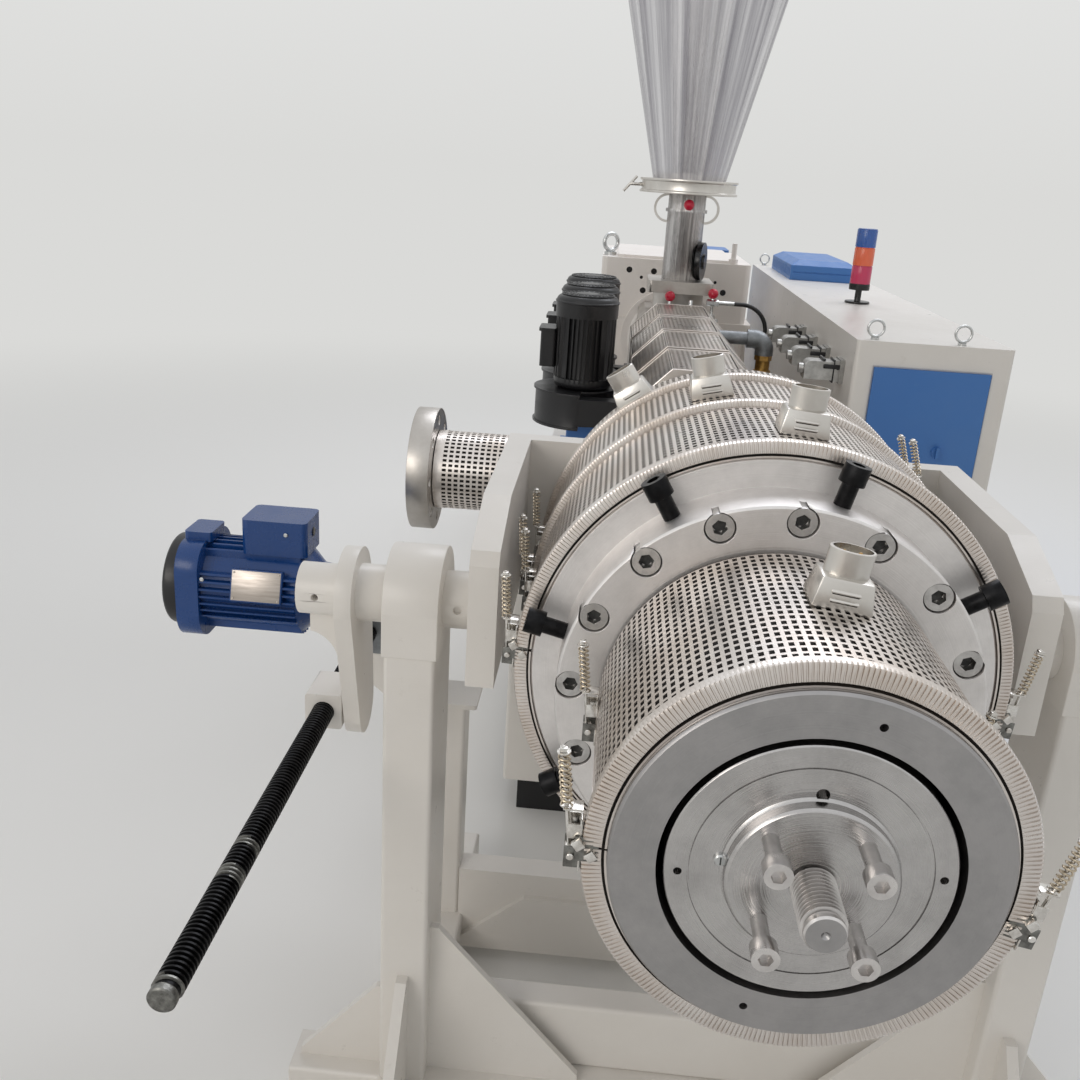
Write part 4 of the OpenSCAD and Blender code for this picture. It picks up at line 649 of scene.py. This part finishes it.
def heater_band(front, back, bore, sheet, seams):
    """A band from its front end to its back end, along +Y, round the die axis, split at two seam angles."""
    right, left = seams
    bm = half_shell(front, back, bore, sheet, right + seam_gap, left - seam_gap)
    join(bm, half_shell(front + 0.001, back - 0.001, bore, sheet + 0.001, left + seam_gap,
                        right + 360 - seam_gap))
    # the dark core paints the shade seen through the holes
    core = turned(oblong(bore + 0.0032, sheet - 0.004, 0.006, back - front - 0.006), 128, closed=True)
    join(bm, core, place((0, front, axis_height), (0, 1, 0)), finish=1)
    return bm


body_low, body_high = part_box("body_bands")
bush_low, bush_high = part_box("bush_band")
body_sheet = (body_high.x - body_low.x) / 2 - rim_proud
bush_sheet = (bush_high.x - bush_low.x) / 2 - rim_proud
body_bore = (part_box("die_body")[1].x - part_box("die_body")[0].x) / 2
bush_bore = (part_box("die_bush")[1].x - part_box("die_bush")[0].x) / 2
gap = 0.010
first_end = body_low.y + 0.258
second_end = first_end + gap + 0.218
bands = [("body_band_1", body_low.y, first_end, (-5, 177)),
         ("body_band_2", first_end + gap, second_end, (-5, 177)),
         ("body_band_3", second_end + gap, body_high.y, (24, 204))]
for name, front, back, seams in bands:
    piece(name, heater_band(front, back, body_bore, body_sheet, seams), [cover_stainless, painted_opening_shade],
          replaced=("body_bands",) if name == "body_band_1" else ())
bush_seams = (-11, 180)
piece("bush_cover", heater_band(bush_low.y, bush_high.y, bush_bore, bush_sheet, bush_seams),
      [cover_stainless, painted_opening_shade], replaced=("bush_band",))

# %% [markdown]
# ## Spring clasps
# A heated band grows, so its halves are drawn together by springs. At a seam, a tie rod hooks on a trunnion
# pin of the lower half, passes through a seat on the upper half, and carries a coil spring between two
# washers, with a square nut at its end. The spring is wound with `coiled`, from a six-sided section of 2.4
# mm wire at 6.2 mm pitch.

# %% Spring clasps
spring_radius = 0.0060
wire_radius = 0.0012
spring_pitch = 0.0062
spring_turns = 9.7
washer = [(0.0025, 0), (0.0075, 0), (0.0078, 0.0006), (0.0075, 0.0014), (0.0025, 0.0014)]


def clasp(front_lip=False):
    """A clasp at a seam: local X along the machine, Y round the cover and up, Z away from it."""
    bm = bmesh.new()
    if front_lip:
        put(bm, (0.0025, 0.030, 0.026), 0.0008, (-0.0135, -0.004, -0.006), finish=1)
        for y, z in ((-0.009, -0.011), (0.004, 0.003)):
            join(bm, block((0.007, 0.0115, 0.0115), 0.0012),
                 Matrix.Translation((-0.0175, y, z)) @ Matrix.Rotation(math.radians(38), 4, "X"))
    # the trunnion pin, the ears of both halves, their feet, the pin's middle and the seat of the rod
    join(bm, rod(0.0042, 0.034, 0.001, 16), place((-0.017, -0.014, 0.011), (1, 0, 0)))
    for x in (-0.0115, 0.0115):
        put(bm, (0.0022, 0.026, 0.019), 0.0008, (x, -0.016, 0.0085), finish=1)
        put(bm, (0.0022, 0.018, 0.016), 0.0008, (x, 0.016, 0.0075))
    put(bm, (0.027, 0.024, 0.0022), 0.0008, (0, -0.022, 0.0014))
    put(bm, (0.027, 0.022, 0.0022), 0.0008, (0, 0.020, 0.0014))
    put(bm, (0.012, 0.012, 0.011), 0.0015, (0, -0.014, 0.012))
    put(bm, (0.020, 0.0025, 0.022), 0.001, (0, 0.040, 0.011))
    # the rod leans a little away from the cover, with the spring, two washers and the nut on it
    lean = place((0, -0.014, 0.012), (0, 1, 0.115), (1, 0, 0))
    join(bm, rod(0.0023, 0.126, 0.0008, 10), lean)
    spring = coiled(circle(spring_radius, wire_radius, 6), spring_turns, spring_pitch, 16)
    join(bm, spring, lean @ Matrix.Translation((0, 0, 0.057)), finish=2)
    for height in (0.0545, 0.118):
        join(bm, turned(washer, 20, closed=True), lean @ Matrix.Translation((0, 0, height)))
    join(bm, block((0.0085, 0.0085, 0.005), 0.0008), lean @ Matrix.Translation((0, 0, 0.122)))
    return bm


def on_cover(sheet, angle, along, left):
    """Where a clasp stands: at an angle on a cover, with local Y towards the top half."""
    turn = math.radians(angle)
    out = Vector((math.cos(turn), 0, math.sin(turn)))
    up = Vector((-out.z, 0, out.x)) * (-1 if left else 1)
    turned_frame = Matrix((Vector((0, 1, 0)), up, out)).transposed().to_4x4()
    return Matrix.Translation(Vector((0, along, axis_height)) + out * sheet) @ turned_frame


clasps = bmesh.new()
seats = [(bush_sheet, bush_seams, bush_low.y + 0.016, bush_high.y - 0.055)]
seats += [(body_sheet, seams, front + 0.018, back - 0.040) for name, front, back, seams in bands]
for sheet, (right, left), near, far in seats:
    for along, rise, lip in ((near, rim_proud, True), (far, 0.0, False)):
        join(clasps, clasp(lip), on_cover(sheet + rise, left, along, True))
        join(clasps, clasp(lip), on_cover(sheet + rise, right, along, False))
bmesh.ops.recalc_face_normals(clasps, faces=clasps.faces)
piece("band_clasps", clasps, [chrome_wire, worn_oxide, spring_steel])

# %% [markdown]
# ## Heater plugs
# Each band has a plug box: a folded sheet foot with two louvres, and an oval steel socket with ceramic and
# pins inside. The foot is a block whose top is narrowed, and the louvres are small tilted tongues that
# stand off its face, each over a dark strip that paints the shade of its opening. The socket is a turned
# cup, squeezed into an oval.

# %% Plug boxes
face_slope = 0.16
cup_profile = [(0.0, 0.010), (0.0235, 0.010), (0.0235, 0.032), (0.026, 0.032), (0.0272, 0.031), (0.0268, 0.0)]
insert_profile = [(0.0, 0.018), (0.020, 0.018), (0.0212, 0.017), (0.0212, 0.0)]


def plug_box(spot, outward):
    """A plug box that stands on a band; local Z points out and local Y along the machine."""
    bm = bmesh.new()
    foot = block((0.072, 0.060, 0.036))
    bmesh.ops.translate(foot, vec=(0, 0, 0.018), verts=foot.verts)
    for vert in foot.verts:
        if vert.co.z > 0.03:
            vert.co.x *= 0.84
            vert.co.y *= 0.80
    bmesh.ops.bevel(foot, geom=foot.edges, offset=0.0025, segments=2, profile=0.5, affect="EDGES",
                    material=-1)
    join(bm, foot)
    tilt = Matrix.Rotation(math.radians(35), 4, "X")
    for height in (0.012, 0.022):
        back = height * face_slope
        join(bm, block((0.034, 0.006, 0.0026), 0.001), Matrix.Translation((0, back - 0.0295, height)) @ tilt)
        # a dark strip under the tongue paints the shade of the louvre's opening
        put(bm, (0.032, 0.003, 0.0042), 0.0006, (0, back - 0.0290, height - 0.004), finish=3)
    for profile, steps, squeeze, height, finish in ((cup_profile, 48, 0.66, 0.035, 0),
                                                    (insert_profile, 32, 0.6, 0.036, 1)):
        join(bm, turned(profile, steps),
             Matrix.Translation((0, 0, height)) @ Matrix.Diagonal((1.0, squeeze, 1.0, 1.0)), finish)
    for x in (-0.0095, 0.0095):
        join(bm, rod(0.0027, 0.027, 0.0012, 12), Matrix.Translation((x, 0, 0.037)), finish=2)
    bmesh.ops.transform(bm, matrix=place(spot, outward, (0, 1, 0)), verts=bm.verts)
    return bm


plugs = bmesh.new()
plug_spots = [(-1.496, bush_sheet, -8), (-1.142, body_sheet, -5), (-0.872, body_sheet, 12.8),
              (-0.718, body_sheet, 34.5)]
for along, radius, lean in plug_spots:
    out = Vector((-math.sin(math.radians(lean)), 0, math.cos(math.radians(lean))))
    join(plugs, plug_box(Vector((0, along, axis_height)) + out * (radius - 0.001), out))
piece("plug_boxes", plugs, [bright_stainless, ceramic, brass, painted_opening_shade],
      replaced=("heater_plugs",))

# %% [markdown]
# ## The tilting screw
# The jack screw is a 38 mm trapezoidal thread of 8 mm pitch, oiled black, with two rings that the nut has
# worn pale and a turned cap at its free end. A thread is one tooth wound about a core. The tooth is a
# little wider than its gap, so that both show in the picture. The worn rings are the same faces with
# another finish.

# %% Jack screw
tooth_share = 0.62
flank_lean = 0.35


def threaded(core, major, length, pitch, steps=20):
    """A core with one trapezoidal thread wound round it, from the origin along Z."""
    bm = rod(core, length, 0.0008, 28)
    root, foot, flank = core - 0.0006, pitch * tooth_share, (major - core) * flank_lean
    tooth = [(root, 0), (root, foot), (major, foot - flank), (major, flank)]
    join(bm, coiled(tooth, (length - pitch) / pitch, pitch, steps))
    return bm


screw_low, screw_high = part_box("jack_screw")
screw_x, screw_z = (screw_low.x + screw_high.x) / 2, (screw_low.z + screw_high.z) / 2
screw = threaded(0.0158, (screw_high.x - screw_low.x) / 2, screw_high.y - screw_low.y - 0.012, 0.008)
bmesh.ops.transform(screw, matrix=place((screw_x, screw_high.y, screw_z)), verts=screw.verts)
worn_rings = ((-1.452, -1.436), (-1.522, -1.498))
worn_end = screw_low.y + 0.026
for face in screw.faces:
    along = face.calc_center_median().y
    if along < worn_end or any(low < along < high for low, high in worn_rings):
        face.material_index = 1
join(screw, rod(0.0175, 0.012, 0.002, 32), place((screw_x, screw_low.y + 0.0122, screw_z)), finish=1)
piece("jack_thread", screw, [black_oxide, worn_oxide], replaced=("jack_screw",))

# %% [markdown]
# ## The draw stud
# An M48 stud stands on the mandrel's hub: a rolled thread, a plain turned tip with a chamfer, and a centre
# hole left by the lathe. It is made like the jack screw. An M48 thread has a 5 mm pitch, and 6 mm is drawn
# here so that its turns still show as lines in the picture.

# %% Draw stud
stud_low, stud_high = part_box("draw_stud")
stud_reach = stud_high.y - stud_low.y
stud = threaded(0.0200, (stud_high.x - stud_low.x) / 2, stud_reach - 0.007, 0.006, 40)
tip = turned([(0.0, 0.0), (0.0214, 0.0), (0.0214, 0.0045), (0.0196, 0.0070), (0.0048, 0.0070),
              (0.0032, 0.0052), (0.0, 0.0020)], 48)
for face in tip.faces:
    face.material_index = int(face.calc_center_median().xy.length < 0.0195)
join(stud, tip, Matrix.Translation((0, 0, stud_reach - 0.0072)))
bmesh.ops.transform(stud, matrix=place((0, stud_high.y, axis_height)), verts=stud.verts)
piece("stud_thread", stud, [screw_zinc, face_steel], replaced=("draw_stud",))

# %% [markdown]
# ## Barrel covers
# Each of the four zones wears a folded cover whose sides, slopes and top are perforated. The CAD solid
# already has the folded ends, with its faces set in between them. A panel of real holes lies over each
# face, on a dark sheet that paints the shade behind the holes. The holes are on a 14 mm grid.

# %% Panels on the zones
panel_pitch = 0.014
panel_web = 0.0035
panel_lift = 0.0042


def panel(width, length):
    """A flat perforated panel about the origin, on a dark backing that faces +Z and paints the shade in its
    holes.
    """
    bm = bmesh.new()
    opened_grid(bm, width, length, round(width / panel_pitch), round(length / panel_pitch), panel_web)
    bmesh.ops.solidify(bm, geom=bm.faces, thickness=sheet_wall)
    return put(bm, (width, length, 0.001), 0.0, (0, 0, -0.0026), finish=1)


zone_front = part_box("zone_covers")[0].y
zone_pitch, zone_length, zone_rim = 0.375, 0.345, 0.012
field_x, field_z, slope = 0.178, 0.204, 0.0914
faces = [((field_x, 0, -0.046), (1, 0, 0), 0.310), ((-field_x, 0, -0.046), (-1, 0, 0), 0.310),
         ((0, 0, field_z), (0, 0, 1), 0.168),
         ((field_x - slope / 2, 0, field_z - slope / 2), (1, 0, 1), 0.124),
         ((slope / 2 - field_x, 0, field_z - slope / 2), (-1, 0, 1), 0.124)]
for zone in range(4):
    middle = zone_front + zone * zone_pitch + zone_length / 2
    cover = bmesh.new()
    for (x, y, z), out, width in faces:
        spot = Vector((x, middle, axis_height + z)) + Vector(out).normalized() * panel_lift
        join(cover, panel(width, zone_length - 2 * zone_rim - 0.006), place(spot, out, (0, 1, 0)))
    piece(f"zone_panels_{zone + 1}", cover, [cover_stainless, painted_opening_shade])

# %% [markdown]
# ## The side inlet's cover
# The heated tube that runs in from the side has the same perforated sleeve, closed by a plain ring at the
# flange. The sleeve and its dark core, which paints the shade seen through the holes, replace the plain CAD
# tube.

# %% Inlet sleeve
tube_low, tube_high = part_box("inlet_tube")
tube_middle = ((tube_low.y + tube_high.y) / 2, (tube_low.z + tube_high.z) / 2)
tube_radius = (tube_high.y - tube_low.y) / 2
tube_length = tube_high.x - tube_low.x
sleeve = perforated_tube(tube_radius, tube_length - 0.05)
for height in (-0.018, tube_length - 0.052):
    ring = oblong(tube_radius - 0.004, tube_radius + 0.001, height, height + 0.02)
    join(sleeve, turned(ring, 72, closed=True))
core = oblong(0.04, tube_radius - 0.005, -0.018, tube_length - 0.022)
join(sleeve, turned(core, 64, closed=True), finish=1)
bmesh.ops.transform(sleeve, matrix=place((tube_low.x + 0.02, *tube_middle), (1, 0, 0)), verts=sleeve.verts)
piece("inlet_sleeve", sleeve, [cover_stainless, painted_opening_shade], replaced=("inlet_tube",))

# %% [markdown]
# ## Painted socket shade, plugs and a grub screw
# The hexagon sockets of the screws in the ring lie in shade, which makes each one read as a dark hexagon. A
# thin dark six-sided plate lies at the bottom of each socket and paints that shade. The tapped holes in the
# gearbox are closed by black plastic plugs, and a bright grub screw is set in the mandrel, with a dark strip
# on its top that paints the shade of its slot.

# %% Sockets and plugs
screw_count = 16
screw_circle = 0.539 / 2
first_screw = -2.6
socket_depth = 0.0135
wide_plug, small_plug = 0.0128, 0.0068

ring_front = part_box("ring_screws")[0].y
sockets = bmesh.new()
for number in range(screw_count):
    turn = math.radians(first_screw + number * 360 / screw_count)
    out = Vector((math.cos(turn), 0, math.sin(turn)))
    spot = Vector((0, ring_front + socket_depth, axis_height)) + out * screw_circle
    # a thin dark plate at the bottom of each socket paints its shade
    join(sockets, turned(oblong(0, 0.0098, 0, 0.0012), 6), place(spot, up=out))
piece("painted_socket_shade", sockets, [painted_recess_shade])

plugs = bmesh.new()
gear_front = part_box("gearbox")[0].y + 0.040
for x, z, radius in ((-0.200, 1.334, wide_plug), (-0.094, 1.333, wide_plug), (-0.135, 1.250, wide_plug),
                     (0.210, 1.262, wide_plug), (-0.146, 1.305, small_plug), (0.172, 1.303, small_plug)):
    join(plugs, rod(radius, 0.010, 0.001, 24), place((x, gear_front + 0.012, z)))
piece("hole_plugs", plugs, [black_resin])

grub = rod(small_plug, 0.006, 0.0012, 24)
# a dark strip on top paints the shade of the screw's slot
put(grub, (0.0016, 0.009, 0.0006), 0.0, (0, 0, 0.0060), finish=1)
bmesh.ops.transform(grub, matrix=place((-0.094, -1.6985, 1.059)), verts=grub.verts)
piece("mandrel_grub", grub, [zinc_plate, painted_recess_shade])

# %% [markdown]
# ## Plug hoods and the jack motor's plate
# The cast hoods of the heater cables are clamped by black levers, one on each side, with a black gasket
# behind. The jack motor has a blank aluminium plate on a pad, riveted at its corners, a cable gland, and
# two bright screws.

# %% Levers, plate and gland
hood_first, hood_step = 0.655, 0.245
hood_low, hood_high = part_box("heater_sockets")
levers = bmesh.new()
for number in range(4):
    spot = Vector((hood_high.x, hood_first + number * hood_step, (hood_low.z + hood_high.z) / 2))
    put(levers, (0.004, 0.070, 0.070), 0.001, spot - Vector((0.031, 0, 0)))
    for side in (-1, 1):
        put(levers, (0.050, 0.0035, 0.013), 0.0012, spot + Vector((-0.038, side * 0.035, 0.014)))
        pivot = spot + Vector((-0.020, side * 0.032, 0.010))
        join(levers, rod(0.005, 0.005, 0.001, 16), place(pivot, (0, side, 0)))
    put(levers, (0.007, 0.074, 0.008), 0.002, spot + Vector((-0.062, 0, 0.033)))
piece("hood_levers", levers, [black_enamel])

motor_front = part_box("jack_motor")[0].y
plate = block((0.104, 0.066, 0.016), 0.002)
for face in plate.faces:
    face.material_index = 1
put(plate, (0.098, 0.060, 0.0012), 0.0004, (0, 0, 0.0084))
for x in (-0.045, 0.045):
    for y in (-0.026, 0.026):
        join(plate, rod(0.0022, 0.0015, 0.0008, 12), Matrix.Translation((x, y, 0.0088)))
on_motor = place((-0.911, motor_front + 0.0115, 0.9125), (0, -1, 0.31))
bmesh.ops.transform(plate, matrix=on_motor, verts=plate.verts)
piece("motor_plate", plate, [brushed_plate, motor_enamel])

fittings = rod(0.011, 0.022, 0.003, 24)
join(fittings, turned(oblong(0, 0.0145, 0, 0.009), 6))
bmesh.ops.transform(fittings, matrix=place((-0.841, -0.650, 1.006), (1, 0, 0)), verts=fittings.verts)
for spot in ((-1.016, -0.7540, 0.925), (-0.862, -0.7022, 1.012)):
    join(fittings, rod(0.0045, 0.004, 0.0015, 16), place(spot), finish=1)
piece("motor_fittings", fittings, [black_resin, zinc_plate])

# %% [markdown]
# ## Fan grilles
# The cowl of each fan motor ends in a grille of radial slats between rings, so that air can be drawn in.
# One slat is copied into twenty-eight, and three rings are turned from small round sections.

# %% Grilles
fan_x = -0.335
fan_places = (0.750, 1.065, 1.380)
slat_count = 28


def grille(radius):
    """A round grille about local Z with slats, three rings and a hub."""
    bm = block((radius * 0.42, 0.0045, 0.003), 0.0008)
    bmesh.ops.translate(bm, vec=(radius * 0.68, 0, 0), verts=bm.verts)
    copies(bm, math.tau, slat_count)
    for share in (0.47, 0.68, 0.9):
        join(bm, turned(circle(radius * share, 0.0022, 8), 48, closed=True))
    hub = [(0, 0.0035), (radius * 0.40, 0.0035), (radius * 0.44, 0.001), (radius * 0.44, -0.002)]
    return join(bm, turned(hub, 48))


fans = bmesh.new()
fan_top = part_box("blower_motors")[1].z
for along in fan_places:
    join(fans, grille(0.090), Matrix.Translation((fan_x, along, fan_top + 0.0015)))
piece("fan_grilles", fans, [black_enamel])

# %% [markdown]
# ## Floor and light
# A plain pale floor and a soft studio: a big lamp above and behind, a weaker one at the front, and a pale
# world whose sky is brighter than its horizon, so that metal has something to reflect.

# %% Stage and light
backdrop = "#DADAD8"
floor_mat, tree, out, spot = blank("pale_floor")
near = add(tree, "ShaderNodeBsdfPrincipled", {"Base Color": linear("#F1F0ED"), "Roughness": 0.8})
far = add(tree, "ShaderNodeEmission", {"Color": linear(backdrop)})
reach = add(tree, "ShaderNodeVectorMath", {0: spot}, operation="LENGTH").outputs["Value"]
fade = add(tree, "ShaderNodeMapRange", {"Value": reach, "From Min": 2.5, "From Max": 9.0},
           interpolation_type="SMOOTHSTEP").outputs["Result"]
mixed = add(tree, "ShaderNodeMixShader", {0: fade, 1: near.outputs["BSDF"], 2: far.outputs["Emission"]})
tree.links.new(mixed.outputs["Shader"], out.inputs["Surface"])
ground = bmesh.new()
bmesh.ops.create_grid(ground, x_segments=1, y_segments=1, size=60.0)
floor_mesh = bpy.data.meshes.new("floor")
ground.to_mesh(floor_mesh)
ground.free()
floor_mesh.materials.append(floor_mat)
floor = bpy.data.objects.new("floor", floor_mesh)
bpy.context.collection.objects.link(floor)

world = bpy.data.worlds.new("studio")
world.use_nodes = True
sky = world.node_tree
sky.nodes.clear()
direction = add(sky, "ShaderNodeTexCoord").outputs["Generated"]
rise = add(sky, "ShaderNodeSeparateXYZ", {"Vector": direction}).outputs["Z"]
height = add(sky, "ShaderNodeMapRange", {"Value": rise, "From Min": 0.0, "From Max": 0.8})
tint = add(sky, "ShaderNodeMix", {"Factor": height.outputs["Result"], "A": linear(backdrop),
                                  "B": linear("#FBFCFD")}, data_type="RGBA").outputs["Result"]
shown, soft = [add(sky, "ShaderNodeBackground", {"Color": tint, "Strength": strength}).outputs["Background"]
               for strength in (1.0, 0.5)]
ray = add(sky, "ShaderNodeLightPath").outputs
seen = add(sky, "ShaderNodeMath", {0: ray["Is Camera Ray"], 1: ray["Is Glossy Ray"]}, operation="MAXIMUM")
seen = add(sky, "ShaderNodeMath", {0: seen.outputs["Value"], 1: ray["Is Transmission Ray"]},
           operation="MAXIMUM")
both = add(sky, "ShaderNodeMixShader", {0: seen.outputs["Value"], 1: soft, 2: shown})
add(sky, "ShaderNodeOutputWorld", {"Surface": both.outputs["Shader"]})
bpy.context.scene.world = world


def lamp(name, spot, aim, size, power, colour="#FFFFFF"):
    """A soft rectangular lamp that points at a spot."""
    light = bpy.data.lights.new(name, "AREA")
    light.shape = "RECTANGLE"
    light.size, light.size_y = size
    light.energy = power
    light.color = linear(colour)[:3]
    holder = bpy.data.objects.new(name, light)
    bpy.context.collection.objects.link(holder)
    holder.location = spot
    holder.rotation_euler = (Vector(aim) - Vector(spot)).to_track_quat("-Z", "Y").to_euler()


lamp("overhead_light", (1.2, 3.5, 6.0), (0, -0.6, 0.9), (5.0, 3.0), 180, "#F4F7FF")
lamp("front_fill", (-3.5, -5.5, 3.2), (0, -0.8, 0.9), (3.5, 2.5), 85, "#FFF9F2")
bpy.context.scene.view_settings.view_transform = "Standard"
print("lamps set")
